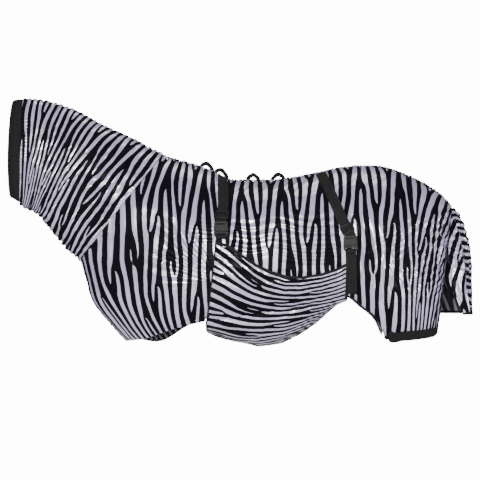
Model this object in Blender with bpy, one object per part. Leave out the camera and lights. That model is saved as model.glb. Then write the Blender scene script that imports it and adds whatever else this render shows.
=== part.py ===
"""Full-neck horse fly sheet in its worn shape: neck cover, belly wrap, tail flap, straps and buckles.

Frame: metres, head towards -X, tail towards +X, the horse's left side towards -Y, up is +Z.
Origin: the lowest dip of the topline, where the sheet rests on the horse's back.
"""

import math

import bmesh
import bpy
import numpy as np
from mathutils import Matrix

# Overall size of the worn sheet.
SHEET_LENGTH = 2.13
SHEET_HEIGHT = 1.14
BARREL_WIDTH = 0.58

# The block that the stations below are drawn at; the sheet is graded from it to the sizes above.
BLOCK_LENGTH = 2.13
BLOCK_HEIGHT = 1.14
BLOCK_WIDTH = 0.58

# Cloth, seams and trims.
CLOTH = 0.003
SEAM_GAP = 0.0015
CLEARANCE = 0.0005
STRIP_WIDTH = 0.10
CHEST_WIDTH = 0.07
BINDING_WIDTH = 0.013
LEG_BAND_WIDTH = 0.050
FACE_BAND_WIDTH = 0.048
ELASTIC_WIDTH = 0.020
ELASTIC_THICK = 0.0015
ELASTIC_CLEARANCE = 0.0045
FAR_HEM_DROP = 0.045
FAR_DROP_STATION = 12.6
FAR_DROP_SPREAD = 0.7
NECK_INSET = (0.03, 0.02)
ELASTIC_INSET = (0.1, 0.15)
FRONT_HEM_TAPER = 0.4

# Webbing and its fittings.
WEBBING_WIDTH = 0.048
WEBBING_THICK = 0.0022
LOWER_STRAP_CLEARANCE = 0.0025
UNDER_STRAP_OFFSET = 0.0045
STRAP_OFFSET = 0.0075
SLIDER_OFFSET = 0.0125
BUCKLE_OFFSET = 0.0155
SLIDER_LENGTH = 0.041
SLIDER_BAR = 0.0042
SLIDER_POST = 0.005
SLIDER_TRAVEL = 0.035
SOCKET_LENGTH = 0.046
SOCKET_WIDTH = 0.064
SOCKET_THICK = 0.013
SOCKET_WALL = 0.0022
SOCKET_SIDE = 0.0035
SOCKET_CHAMFER = 0.006
SOCKET_TUCK = 0.0085
SOCKET_LEAD = 0.002
WINDOW_LENGTH = 0.014
WINDOW_WALL = 0.0031
PLAY = 0.0006
TONGUE = 0.012
LATCH_LENGTH = 0.022
LATCH_SLOT = (0.009, 0.016)
LATCH_TAIL = 0.010
LATCH_TURN = 1.2
PRONG_LENGTH = 0.034
PRONG_WIDTH = 0.0055
PRONG_SHOULDER = 0.6
PRONG_CROWN = 0.78
KEEPER_LENGTH = 0.060
KEEPER_HEIGHT = 0.020
KEEPER_WIDTH = 0.020
KEEPER_FULLNESS = 0.8
STRAP_RISE = (0.045, 0.006)
LOWER_STRAP_START = 0.06
TAB_SPAN = (0.045, 0.004)

# Belly wrap and tail flap.
WRAP_CLEARANCE = 0.003
WRAP_UNDER = 0.55
WRAP_TOP_BAND = 0.07
WRAP_TOP_GAP = 0.008
WRAP_FRONT_CURVE = 0.8
WRAP_FULLNESS = 0.85
TAIL_CENTRE_WIDTH = 0.11
TAIL_SEAM = 0.006

# Stations along the sheet, head to tail: topline (x, z), lower edge (x, z), half width, level of the
# widest point as a share of the drop, and half width left open at the lower edge.
STATIONS = [
    ((-1.044, 0.368), (-1.056, -0.074), 0.085, 0.50, 0.000),
    ((-1.017, 0.375), (-1.033, -0.087), 0.092, 0.50, 0.000),
    ((-0.920, 0.370), (-0.929, -0.154), 0.105, 0.50, 0.000),
    ((-0.773, 0.327), (-0.846, -0.248), 0.120, 0.48, 0.000),
    ((-0.626, 0.251), (-0.800, -0.306), 0.135, 0.47, 0.000),
    ((-0.483, 0.186), (-0.764, -0.336), 0.160, 0.46, 0.000),
    ((-0.354, 0.120), (-0.734, -0.368), 0.185, 0.46, 0.000),
    ((-0.299, 0.101), (-0.711, -0.442), 0.205, 0.48, 0.000),
    ((-0.248, 0.087), (-0.672, -0.557), 0.222, 0.50, 0.000),
    ((-0.202, 0.074), (-0.612, -0.639), 0.235, 0.52, 0.000),
    ((-0.161, 0.060), (-0.529, -0.731), 0.245, 0.53, 0.000),
    ((-0.147, 0.055), (-0.506, -0.731), 0.250, 0.53, 0.080),
    ((-0.120, 0.046), (-0.428, -0.718), 0.257, 0.54, 0.155),
    ((-0.078, 0.023), (-0.299, -0.674), 0.266, 0.54, 0.200),
    ((-0.028, 0.005), (-0.156, -0.639), 0.275, 0.54, 0.210),
    ((0.046, 0.005), (0.000, -0.614), 0.285, 0.54, 0.210),
    ((0.147, 0.005), (0.129, -0.593), 0.290, 0.54, 0.210),
    ((0.253, 0.018), (0.262, -0.572), 0.288, 0.54, 0.210),
    ((0.359, 0.039), (0.391, -0.551), 0.280, 0.54, 0.210),
    ((0.451, 0.060), (0.488, -0.535), 0.272, 0.54, 0.210),
    ((0.534, 0.069), (0.557, -0.584), 0.270, 0.54, 0.215),
    ((0.607, 0.069), (0.621, -0.639), 0.272, 0.53, 0.220),
    ((0.672, 0.062), (0.672, -0.731), 0.275, 0.50, 0.220),
    ((0.745, 0.037), (0.745, -0.729), 0.275, 0.50, 0.215),
    ((0.828, 0.000), (0.819, -0.722), 0.266, 0.50, 0.195),
    ((0.902, -0.046), (0.874, -0.713), 0.240, 0.50, 0.165),
    ((0.948, -0.087), (0.892, -0.706), 0.190, 0.50, 0.130),
    ((0.973, -0.117), (0.902, -0.699), 0.120, 0.50, 0.090),
]
NECK_SEAM = 6
FRONT_HEM_START = 10
WRAP_FRONT = 14
FLANK = 19
FLANK_END = 21.85
LEG_BAND_START = 22
TAIL_EDGE = len(STATIONS) - 1
ROUNDNESS = 2.2

# Where the body panels' rows of points stand; the trims along the lower edge share them.
SEAM_INSET = 0.02
BODY_STATIONS = [NECK_SEAM + SEAM_INSET, 6.5, 7, 7.5, 8, 8.5, 9, 9.5, 10, 10.2, 10.4, 10.7, 11, 11.5, 12]
BODY_STATIONS += [12.5, 13, 13.5, 14, 15, 16, 17, 18, 19, 19.5, 20, 20.5, 21, 21.5, FLANK_END, 22, 23, 24]
BODY_STATIONS += [24.5, 25, 25.5, 26, 26.5, TAIL_EDGE]

# Belly wrap, on the block: near top edge (x, z) from front to rear, and how far the wrap sags below the
# hem line at places along it.
WRAP_TOP = [
    (-0.110, -0.267),
    (-0.055, -0.288),
    (0.010, -0.334),
    (0.070, -0.376),
    (0.138, -0.409),
    (0.207, -0.432),
    (0.276, -0.437),
    (0.368, -0.423),
    (0.437, -0.400),
    (0.492, -0.372),
]
WRAP_SAG = [
    (-0.166, 0.040),
    (-0.110, 0.076),
    (-0.028, 0.113),
    (0.083, 0.154),
    (0.193, 0.158),
    (0.276, 0.130),
    (0.359, 0.083),
    (0.442, 0.020),
    (0.492, 0.008),
]

# Tail flap, on the block: centre line (x, z), half width, and how far each wing reaches forward.
TAIL_LEVELS = [
    ((0.986, -0.124), 0.030, 0.004, 0.004),
    ((1.008, -0.166), 0.065, 0.026, 0.026),
    ((1.030, -0.216), 0.095, 0.052, 0.052),
    ((1.049, -0.294), 0.128, 0.080, 0.080),
    ((1.058, -0.386), 0.148, 0.092, 0.100),
    ((1.060, -0.464), 0.158, 0.092, 0.118),
    ((1.064, -0.547), 0.160, 0.072, 0.132),
    ((1.067, -0.610), 0.156, 0.052, 0.136),
]

# Straps on the near side, on the block: (x, z) of the topline end, the slider, the buckle and the lower end.
FRONT_STRAP = ((-0.080, 0.010), (-0.081, -0.163), (-0.084, -0.236), (-0.084, -0.262))
REAR_STRAP = ((0.370, 0.028), (0.482, -0.222), (0.498, -0.297), (0.509, -0.512))
KEEPERS = (-0.152, -0.085, 0.060, 0.175)

LENGTH_GRADE = SHEET_LENGTH / BLOCK_LENGTH
HEIGHT_GRADE = SHEET_HEIGHT / BLOCK_HEIGHT
WIDTH_GRADE = BARREL_WIDTH / BLOCK_WIDTH

COLOURS = {
    "print": ((0.40, 0.38, 0.45, 1.0), 0.55, 0.0),
    "ruched": ((0.34, 0.32, 0.38, 1.0), 0.60, 0.0),
    "elastic": ((0.012, 0.011, 0.014, 1.0), 0.80, 0.0),
    "binding": ((0.010, 0.010, 0.012, 1.0), 0.70, 0.0),
    "webbing": ((0.016, 0.016, 0.014, 1.0), 0.65, 0.0),
    "buckle": ((0.030, 0.030, 0.030, 1.0), 0.35, 0.0),
}


def clear_scene():
    for obj in list(bpy.data.objects):
        bpy.data.objects.remove(obj, do_unlink=True)


def material(finish):
    found = bpy.data.materials.get(finish)
    if found:
        return found
    colour, roughness, metallic = COLOURS[finish]
    made = bpy.data.materials.new(finish)
    made.use_nodes = True
    shader = made.node_tree.nodes["Principled BSDF"]
    shader.inputs["Base Color"].default_value = colour
    shader.inputs["Roughness"].default_value = roughness
    shader.inputs["Metallic"].default_value = metallic
    return made


def add_object(name, mesh, finish, placing=None):
    mesh.materials.append(material(finish))
    obj = bpy.data.objects.new(name, mesh)
    bpy.context.scene.collection.objects.link(obj)
    if placing is not None:
        obj.matrix_world = placing
    return obj


# ---------------------------------------------------------------- the sheet's form


def smooth(values, s):
    """Value of a row of numbers at the fractional position s, on a smooth curve through them."""
    values = np.asarray(values, dtype=float)
    last = len(values) - 1
    i = int(min(max(math.floor(s), 0), last - 1))
    f = s - i
    before = values[max(i - 1, 0)]
    a = values[i]
    b = values[i + 1]
    after = values[min(i + 2, last)]
    ta = (b - before) / (2 if i > 0 else 1)
    tb = (after - a) / (2 if i + 2 <= last else 1)
    return (
        (2 * f**3 - 3 * f**2 + 1) * a
        + (f**3 - 2 * f**2 + f) * ta
        + (-2 * f**3 + 3 * f**2) * b
        + (f**3 - f**2) * tb
    )


def graded(point):
    return np.array([point[0] * LENGTH_GRADE, point[1] * HEIGHT_GRADE])


TOPS = [graded(row[0]) for row in STATIONS]
HEMS = [graded(row[1]) for row in STATIONS]
WIDTHS = [row[2] * WIDTH_GRADE for row in STATIONS]
WIDEST = [row[3] for row in STATIONS]
OPENINGS = [row[4] * WIDTH_GRADE for row in STATIONS]


def section(s, far=False):
    """Half cross-section at station s, spine to lower edge: drop shares and half widths."""
    width = smooth(WIDTHS, s)
    widest = smooth(WIDEST, s)
    opening = max(smooth(OPENINGS, s), 0.0) / width
    upper = np.linspace(0.0, math.pi / 2, 28)
    lower = np.sin(np.linspace(0.0, math.pi / 2, 28))[1:]
    drop = np.concatenate(
        [
            widest * (1 - np.cos(upper) ** (2 / ROUNDNESS)),
            widest + (1 - widest) * lower,
        ]
    )
    half = np.concatenate(
        [
            width * np.sin(upper) ** (2 / ROUNDNESS),
            width * (1 - (1 - opening**ROUNDNESS) * lower**ROUNDNESS) ** (1 / ROUNDNESS),
        ]
    )
    top = smooth(TOPS, s)
    hem = smooth(HEMS, s)
    if far:
        away = (s - FAR_DROP_STATION) / FAR_DROP_SPREAD
        hem = hem + np.array([0.0, -FAR_HEM_DROP * math.exp(-(away**2))])
    plane = top + np.outer(drop, hem - top)
    return np.column_stack([plane[:, 0], half, plane[:, 1]])


def arc_of(points):
    steps = np.linalg.norm(np.diff(points, axis=0), axis=1)
    return np.concatenate([[0.0], np.cumsum(steps)])


def drop_length(s, far=False):
    return arc_of(section(s, far))[-1]


def on_form(s, arc):
    """Point on the sheet's outer surface: arc is the distance from the spine, far side positive."""
    points = section(s, far=arc > 0)
    along = arc_of(points)
    found = [np.interp(abs(arc), along, points[:, k]) for k in range(3)]
    found[1] *= 1 if arc >= 0 else -1
    return np.array(found)


def form_normal(s, arc):
    """Outward normal of the form at station s and the signed arc."""
    ds = 0.01
    da = 0.0015
    side = 1 if arc >= 0 else -1
    span = drop_length(s, arc > 0)
    low = min(max(abs(arc) - da, 0.0), span - 2 * da)
    before, after = on_form(max(s - ds, 0.0), arc), on_form(min(s + ds, TAIL_EDGE), arc)
    shares = abs(arc) / span
    if shares > 0.5:
        before = on_form(max(s - ds, 0.0), side * shares * drop_length(max(s - ds, 0.0), arc > 0))
        after = on_form(min(s + ds, TAIL_EDGE), side * shares * drop_length(min(s + ds, TAIL_EDGE), arc > 0))
    across = on_form(s, side * (low + 2 * da)) - on_form(s, side * low)
    if abs(arc) < da:
        across = on_form(s, da) - on_form(s, -da)
        side = 1
    normal = np.cross(after - before, across * side)
    return normal / np.linalg.norm(normal)


def station_at(x, z):
    """Station whose plane passes through (x, z)."""
    low, high = 0.0, float(TAIL_EDGE)
    for _ in range(40):
        middle = (low + high) / 2
        top, hem = smooth(TOPS, middle), smooth(HEMS, middle)
        share = (z - top[1]) / (hem[1] - top[1])
        if top[0] + share * (hem[0] - top[0]) < x:
            low = middle
        else:
            high = middle
    return (low + high) / 2


def near_point(x, z, offset=0.0):
    """Point of the near side over (x, z), moved out of the cloth by offset, and its outward normal."""
    step = 0.004

    def surface(px, pz):
        s = station_at(px, pz)
        points = section(s)
        share = np.clip((pz - points[0, 2]) / (points[-1, 2] - points[0, 2]), 0.0, 1.0)
        levels = (points[:, 2] - points[0, 2]) / (points[-1, 2] - points[0, 2])
        return np.array([px, -np.interp(share, levels, points[:, 1]), pz])

    here = surface(x, z)
    along = surface(x + step, z) - surface(x - step, z)
    up = surface(x, z + step) - surface(x, z - step)
    normal = np.cross(along, up)
    normal /= np.linalg.norm(normal)
    return here + normal * offset, normal


# ---------------------------------------------------------------- solids


def grid_normals(grid, looped):
    along = np.gradient(grid, axis=0)
    if looped:
        across = (np.roll(grid, -1, axis=1) - np.roll(grid, 1, axis=1)) / 2
    else:
        across = np.gradient(grid, axis=1)
    normals = np.cross(along, across)
    lengths = np.linalg.norm(normals, axis=2, keepdims=True)
    return normals / np.maximum(lengths, 1e-12)


def sheet_solid(name, grid, finish, thick=CLOTH, looped=False, outward=0.0, normals=None):
    """Closed solid from a grid of points on its outer side; looped closes the second direction."""
    grid = np.asarray(grid, dtype=float)
    rows, columns = grid.shape[:2]
    normals = grid_normals(grid, looped) if normals is None else np.asarray(normals)
    outer = (grid + normals * outward).reshape(-1, 3)
    inner = (grid + normals * (outward - thick)).reshape(-1, 3)
    count = rows * columns
    faces = []
    spans = columns if looped else columns - 1

    def corner(i, j):
        return i * columns + j % columns

    for i in range(rows - 1):
        for j in range(spans):
            a, b, c, d = corner(i, j), corner(i + 1, j), corner(i + 1, j + 1), corner(i, j + 1)
            faces.append((a, b, c, d))
            faces.append((count + d, count + c, count + b, count + a))
    for j in range(spans):
        a, b = corner(0, j), corner(0, j + 1)
        faces.append((a, b, count + b, count + a))
        a, b = corner(rows - 1, j + 1), corner(rows - 1, j)
        faces.append((a, b, count + b, count + a))
    if not looped:
        for i in range(rows - 1):
            a, b = corner(i + 1, 0), corner(i, 0)
            faces.append((a, b, count + b, count + a))
            a, b = corner(i, columns - 1), corner(i + 1, columns - 1)
            faces.append((a, b, count + b, count + a))
    mesh = bpy.data.meshes.new(name)
    mesh.from_pydata([tuple(p) for p in np.vstack([outer, inner])], [], faces)
    mesh.validate()
    work = bmesh.new()
    work.from_mesh(mesh)
    bmesh.ops.triangulate(work, faces=work.faces)
    work.to_mesh(mesh)
    work.free()
    mesh.shade_smooth()
    mesh.set_sharp_from_angle(angle=math.radians(40))
    return add_object(name, mesh, finish)


def box_mesh(name, low, high):
    mesh = bpy.data.meshes.new(name)
    work = bmesh.new()
    bmesh.ops.create_cube(work, size=1.0)
    for vertex in work.verts:
        for k in range(3):
            vertex.co[k] = high[k] if vertex.co[k] > 0 else low[k]
    work.to_mesh(mesh)
    work.free()
    return mesh


def outline_mesh(name, outline, low, high):
    """Prism over an anticlockwise outline in the local X-Y plane, from low to high along Z."""
    mesh = bpy.data.meshes.new(name)
    work = bmesh.new()
    base = [work.verts.new((x, y, low)) for x, y in outline]
    face = work.faces.new(list(reversed(base)))
    raised = bmesh.ops.extrude_face_region(work, geom=[face])
    for item in raised["geom"]:
        if isinstance(item, bmesh.types.BMVert):
            item.co.z = high
    bmesh.ops.recalc_face_normals(work, faces=work.faces)
    work.to_mesh(mesh)
    work.free()
    return mesh


def cut(obj, name, mesh, placing, operation="DIFFERENCE"):
    tool = bpy.data.objects.new(name, mesh)
    bpy.context.scene.collection.objects.link(tool)
    tool.matrix_world = placing
    tool.hide_render = True
    tool.display_type = "WIRE"
    modifier = obj.modifiers.new(name, "BOOLEAN")
    modifier.operation = operation
    modifier.object = tool
    modifier.solver = "EXACT"


# ---------------------------------------------------------------- cloth panels


def panel(name, stations, lower, upper, finish, rows=10, **options):
    """Panel between two arc positions, each a function of the station, from lower to upper."""
    grid, normals = [], []
    for s in stations:
        arcs = np.linspace(lower(s), upper(s), rows)
        grid.append([on_form(s, a) for a in arcs])
        normals.append([form_normal(s, a) for a in arcs])
    return sheet_solid(name, grid, finish, normals=normals, **options)


def both_sides(name, stations, inner, outer, finish, rows=10, **options):
    """The same panel on the near side (left) and the far side (right); inner is nearer the spine."""
    panel(
        name + "_left", stations, lambda s: -outer(s, False), lambda s: -inner(s), finish, rows, **options
    )
    panel(name + "_right", stations, inner, lambda s: outer(s, True), finish, rows, **options)


def blend_step(s, start, end):
    f = min(max((s - start) / (end - start), 0.0), 1.0)
    return f * f * (3 - 2 * f)


def trim_width(s):
    """Width at the lower edge that is left to the chest panel, the bindings and the leg bands."""
    half_chest = CHEST_WIDTH / 2
    tapered = blend_step(s, FRONT_HEM_START, FRONT_HEM_START + FRONT_HEM_TAPER)
    trim = half_chest + (BINDING_WIDTH - half_chest) * tapered
    return trim + (LEG_BAND_WIDTH - BINDING_WIDTH) * blend_step(s, FLANK_END, LEG_BAND_START)


def face_band_end():
    """Station of the face band's rear edge, a band's width along the topline from its front."""
    places = np.linspace(0.0, NECK_SEAM, 121)
    tops = np.array([smooth(TOPS, s) for s in places])
    return float(np.interp(FACE_BAND_WIDTH, arc_of(tops), places))


def make_face_band(end):
    grid = []
    for s in np.linspace(0.0, end, 3):
        length = drop_length(s)
        grid.append([on_form(s, a) for a in np.linspace(-length, length, 33)[:-1]])
    sheet_solid("face_band", grid, "elastic", looped=True)


def make_neck(start):
    gap = SEAM_GAP / 2
    stations = np.linspace(start + NECK_INSET[0], NECK_SEAM - NECK_INSET[1], 13)
    both_sides("neck", stations, lambda s: gap, lambda s, far: drop_length(s) - 2 * gap, "print", rows=11)
    panel(
        "crest_elastic",
        np.linspace(start + ELASTIC_INSET[0], NECK_SEAM - ELASTIC_INSET[1], 13),
        lambda s: -ELASTIC_WIDTH / 2,
        lambda s: ELASTIC_WIDTH / 2,
        "elastic",
        rows=3,
        thick=ELASTIC_THICK,
        outward=-CLOTH - ELASTIC_CLEARANCE,
    )


def make_body():
    half_strip = STRIP_WIDTH / 2
    stations = BODY_STATIONS
    both_sides(
        "body",
        stations,
        lambda s: half_strip + SEAM_GAP,
        lambda s, far: drop_length(s, far) - trim_width(s) - SEAM_GAP,
        "print",
    )
    strip_stations = np.linspace(NECK_SEAM + SEAM_INSET, TAIL_EDGE, 32)
    panel("back_strip", strip_stations, lambda s: -half_strip, lambda s: half_strip, "ruched", rows=7)
    panel(
        "back_elastic",
        strip_stations[1:-1],
        lambda s: -ELASTIC_WIDTH / 2,
        lambda s: ELASTIC_WIDTH / 2,
        "elastic",
        rows=3,
        thick=ELASTIC_THICK,
        outward=-CLOTH - ELASTIC_CLEARANCE,
    )


def make_chest_panel():
    half = CHEST_WIDTH / 2 - SEAM_GAP
    grid, normals = [], []
    for s in np.linspace(NECK_SEAM + SEAM_INSET, FRONT_HEM_START - 2 * SEAM_INSET, 12):
        length = drop_length(s)
        arcs = [(length - abs(b)) * (1 if b >= 0 else -1) for b in np.linspace(half, -half, 7)]
        grid.append([on_form(s, a) for a in arcs])
        normals.append([form_normal(s, a) for a in arcs])
    sheet_solid("chest_panel", grid, "print", normals=normals)


def make_hem_trims():
    def trim(name, start, end, width, finish):
        between = [s for s in BODY_STATIONS if start < s < end]
        stations = [start + SEAM_INSET] + between + [min(end - SEAM_INSET, TAIL_EDGE)]
        for side, far in (("_left", False), ("_right", True)):
            sign = 1 if far else -1
            grid, normals = [], []
            for s in stations:
                length = drop_length(s, far)
                ends = sorted((sign * (length - width), sign * length))
                arcs = np.linspace(ends[0], ends[1], 4)
                grid.append([on_form(s, a) for a in arcs])
                normals.append([form_normal(s, a) for a in arcs])
            sheet_solid(name + side, grid, finish, normals=normals)

    trim("front_hem", 10.2, WRAP_FRONT, BINDING_WIDTH, "print")
    trim("belly_hem", WRAP_FRONT, FLANK, BINDING_WIDTH, "binding")
    trim("flank_binding", FLANK, FLANK_END, BINDING_WIDTH, "binding")
    trim("leg_band", LEG_BAND_START, TAIL_EDGE + SEAM_INSET, LEG_BAND_WIDTH, "elastic")


# ---------------------------------------------------------------- belly wrap


def along_wrap(table, x):
    xs = [row[0] * LENGTH_GRADE for row in table]
    return float(np.interp(x, xs, [row[1] * HEIGHT_GRADE for row in table]))


def hem_line():
    """The straight lower hem between the wrap's front and rear, where the wrap is sewn on the far side."""
    return smooth(HEMS, WRAP_FRONT), smooth(HEMS, FLANK)


def wrap_ends():
    top_front = graded(WRAP_TOP[0])
    top_rear = graded(WRAP_TOP[-1])
    return top_front, top_rear


def wrap_point(v, u):
    """Point on the wrap's outer side: v runs front to rear, u from the far seam under to the near edge."""
    front, rear = hem_line()
    top_front, top_rear = wrap_ends()
    standing = WRAP_CLEARANCE + CLOTH
    rise = min(max((u - WRAP_UNDER) / (1 - WRAP_UNDER), 0.0), 1.0)
    x_front = front[0] + (top_front[0] - front[0]) * rise**WRAP_FRONT_CURVE
    x_rear = rear[0] + (top_rear[0] - rear[0]) * rise
    x = x_front + (x_rear - x_front) * v
    hem_z = front[1] + (rear[1] - front[1]) * (x - front[0]) / (rear[0] - front[0])
    half = OPENINGS[WRAP_FRONT]
    if u <= WRAP_UNDER:
        turn = math.pi * u / WRAP_UNDER
        far, near = half, -(half + standing)
        y = (far + near) / 2 + (far - near) / 2 * math.cos(turn)
        hang = along_wrap(WRAP_SAG, x) * math.sin(turn) ** WRAP_FULLNESS
        z = hem_z - SEAM_GAP * (1 - u / WRAP_UNDER) - hang
        return np.array([x, y, z])
    top_z = along_wrap(WRAP_TOP, top_front[0] + (top_rear[0] - top_front[0]) * v)
    z = hem_z + (top_z - hem_z) * rise
    return near_point(x, z, standing)[0]


def wrap_piece(name, vs, us, finish, outward=0.0, thick=CLOTH):
    grid = [[wrap_point(v, u) for u in us] for v in vs]
    return sheet_solid(name, grid, finish, thick=thick, outward=outward)


def make_wrap():
    front, rear = hem_line()
    length = float(np.linalg.norm(rear - front))
    edge = BINDING_WIDTH / length
    gap = SEAM_GAP / length
    top = 1 - WRAP_TOP_BAND
    under = list(np.linspace(0.0, WRAP_UNDER, 15))
    across = under + list(np.linspace(WRAP_UNDER, top - WRAP_TOP_GAP, 8))[1:]
    vs = np.linspace(edge + gap, 1 - edge - gap, 16)
    wrap_piece("belly_wrap", vs, across, "print")
    wrap_piece("wrap_top_binding", vs, np.linspace(top, 1.0, 3), "binding")
    whole = under + list(np.linspace(WRAP_UNDER, 1.0, 9))[1:]
    wrap_piece("wrap_front_binding", np.linspace(0.0, edge, 3), whole, "binding")
    wrap_piece("wrap_rear_binding", np.linspace(1 - edge, 1.0, 3), whole, "binding")


# ---------------------------------------------------------------- tail flap


def tail_point(level, side):
    """Point on the tail flap: level 0 to 1 downwards, side -1 near wing edge to 1 far wing edge."""
    s = level * (len(TAIL_LEVELS) - 1)
    centre = smooth([graded(row[0]) for row in TAIL_LEVELS], s)
    half = smooth([row[1] * WIDTH_GRADE for row in TAIL_LEVELS], s)
    reach = smooth([row[2 if side < 0 else 3] * LENGTH_GRADE for row in TAIL_LEVELS], s)
    turn = side * math.pi / 2
    return np.array([centre[0] - reach * (1 - math.cos(turn)), half * math.sin(turn), centre[1]])


def make_tail():
    height = (TAIL_LEVELS[0][0][1] - TAIL_LEVELS[-1][0][1]) * HEIGHT_GRADE
    hem = 1 - BINDING_WIDTH / height
    half_width = TAIL_LEVELS[4][1] * WIDTH_GRADE
    split = 2 / math.pi * math.asin(min(TAIL_CENTRE_WIDTH / 2 / half_width, 0.9))
    levels = np.linspace(0.0, hem - SEAM_GAP / height, 12)

    def piece(name, levels, sides, finish):
        grid = [[tail_point(level, side) for side in sides] for level in levels]
        sheet_solid(name, grid, finish)

    centre = np.linspace(split - TAIL_SEAM, TAIL_SEAM - split, 7)
    piece("tail_centre", levels, -centre, "print")
    piece("tail_wing_left", levels, np.linspace(-1.0, -split - TAIL_SEAM, 7), "print")
    piece("tail_wing_right", levels, np.linspace(split + TAIL_SEAM, 1.0, 7), "print")
    piece("tail_binding", np.linspace(hem, 1.0, 2), np.linspace(-1.0, 1.0, 17), "binding")


# ---------------------------------------------------------------- webbing and fittings


def frame_matrix(here, down, normal):
    """Matrix of a fitting: X across the strap, Y down it, Z out of the cloth."""
    down = down / np.linalg.norm(down)
    normal = normal - down * float(np.dot(down, normal))
    normal /= np.linalg.norm(normal)
    across = np.cross(down, normal)
    frame = Matrix.Identity(4)
    for k in range(3):
        frame[k][0] = across[k]
        frame[k][1] = down[k]
        frame[k][2] = normal[k]
        frame[k][3] = here[k]
    return frame


def fitting_frames(layout):
    """Frames of a strap's slider and buckle; the buckle lies along the cloth, the slider points at it."""
    slider, buckle, end = [graded(p) for p in layout[1:]]
    here, normal = near_point(buckle[0], buckle[1], BUCKLE_OFFSET)
    down = near_point(end[0], end[1], BUCKLE_OFFSET)[0] - here
    buckle_frame = frame_matrix(here, down - normal * float(np.dot(down, normal)), normal)
    slot = frame_point(buckle_frame, 0.0, -SOCKET_LENGTH - SOCKET_LEAD, 0.0)
    here, normal = near_point(slider[0], slider[1], SLIDER_OFFSET)
    return frame_matrix(here, slot - here, normal), buckle_frame


def frame_point(frame, x, y, z):
    return np.array([frame[k][0] * x + frame[k][1] * y + frame[k][2] * z + frame[k][3] for k in range(3)])


def ribbon(name, path, normals, finish="webbing", width=WEBBING_WIDTH):
    """Flat webbing along a path of points, with its outward normals."""
    path = np.asarray(path)
    down = np.gradient(path, axis=0)
    grid = []
    for side in (-0.5, 0.5):
        row = []
        for point, direction, normal in zip(path, down, normals):
            across = np.cross(direction, normal)
            across /= np.linalg.norm(across)
            row.append(point + across * side * width + np.asarray(normal) * WEBBING_THICK / 2)
        grid.append(row)
    return sheet_solid(name, grid, finish, thick=WEBBING_THICK)


def make_strap(name, layout):
    """Upper strap from the topline down through its slider to the slot of its buckle socket."""
    top = graded(layout[0])
    slider_frame, buckle_frame = fitting_frames(layout)
    path, normals = [], []
    straight = SLIDER_LENGTH / 2 + SLIDER_TRAVEL + 0.004
    start = frame_point(slider_frame, 0.0, -straight, 0.0)
    slider_normal = np.array([slider_frame[k][2] for k in range(3)])
    for f in np.linspace(0.0, 0.85, 8):
        place = top + (np.array([start[0], start[2]]) - top) * f
        point, normal = near_point(place[0], place[1], STRAP_OFFSET)
        path.append(point)
        normals.append(normal)
    path += [start, frame_point(slider_frame, 0.0, SLIDER_LENGTH / 2, 0.0)]
    normals += [slider_normal, slider_normal]
    buckle_normal = np.array([buckle_frame[k][2] for k in range(3)])
    for y in (-SOCKET_LENGTH - SOCKET_LEAD, -SOCKET_LENGTH + SOCKET_TUCK - CLEARANCE):
        path.append(frame_point(buckle_frame, 0.0, y, 0.0))
        normals.append(buckle_normal)
    ribbon(name + "_strap", path, normals)
    make_slider(name + "_slider", slider_frame)
    make_buckle(name, buckle_frame)


def make_slider(name, frame):
    """Slide adjuster: two posts, two bars over the strap and one bar behind it."""
    half_width = WEBBING_WIDTH / 2 + 2 * CLEARANCE
    half_length = SLIDER_LENGTH / 2
    bar = SLIDER_BAR
    over = WEBBING_THICK / 2 + CLEARANCE
    outer = half_width + SLIDER_POST
    rise = over + 0.8 * bar
    across = half_width + SLIDER_POST / 2
    body = box_mesh(name, (-outer, -half_length, -rise), (-half_width, half_length, rise))
    obj = add_object(name, body, "buckle", frame)
    parts = [
        ((half_width, -half_length, -rise), (outer, half_length, rise)),
        ((-across, -half_length, over), (across, -half_length + 1.5 * bar, over + bar)),
        ((-across, half_length - 1.5 * bar, over), (across, half_length, over + bar)),
        ((-across, -bar, -over - 0.7 * bar), (across, bar, -over)),
    ]
    for number, (low, high) in enumerate(parts):
        cut(obj, name + "_part%d" % number, box_mesh("part", low, high), frame, "UNION")


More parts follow.
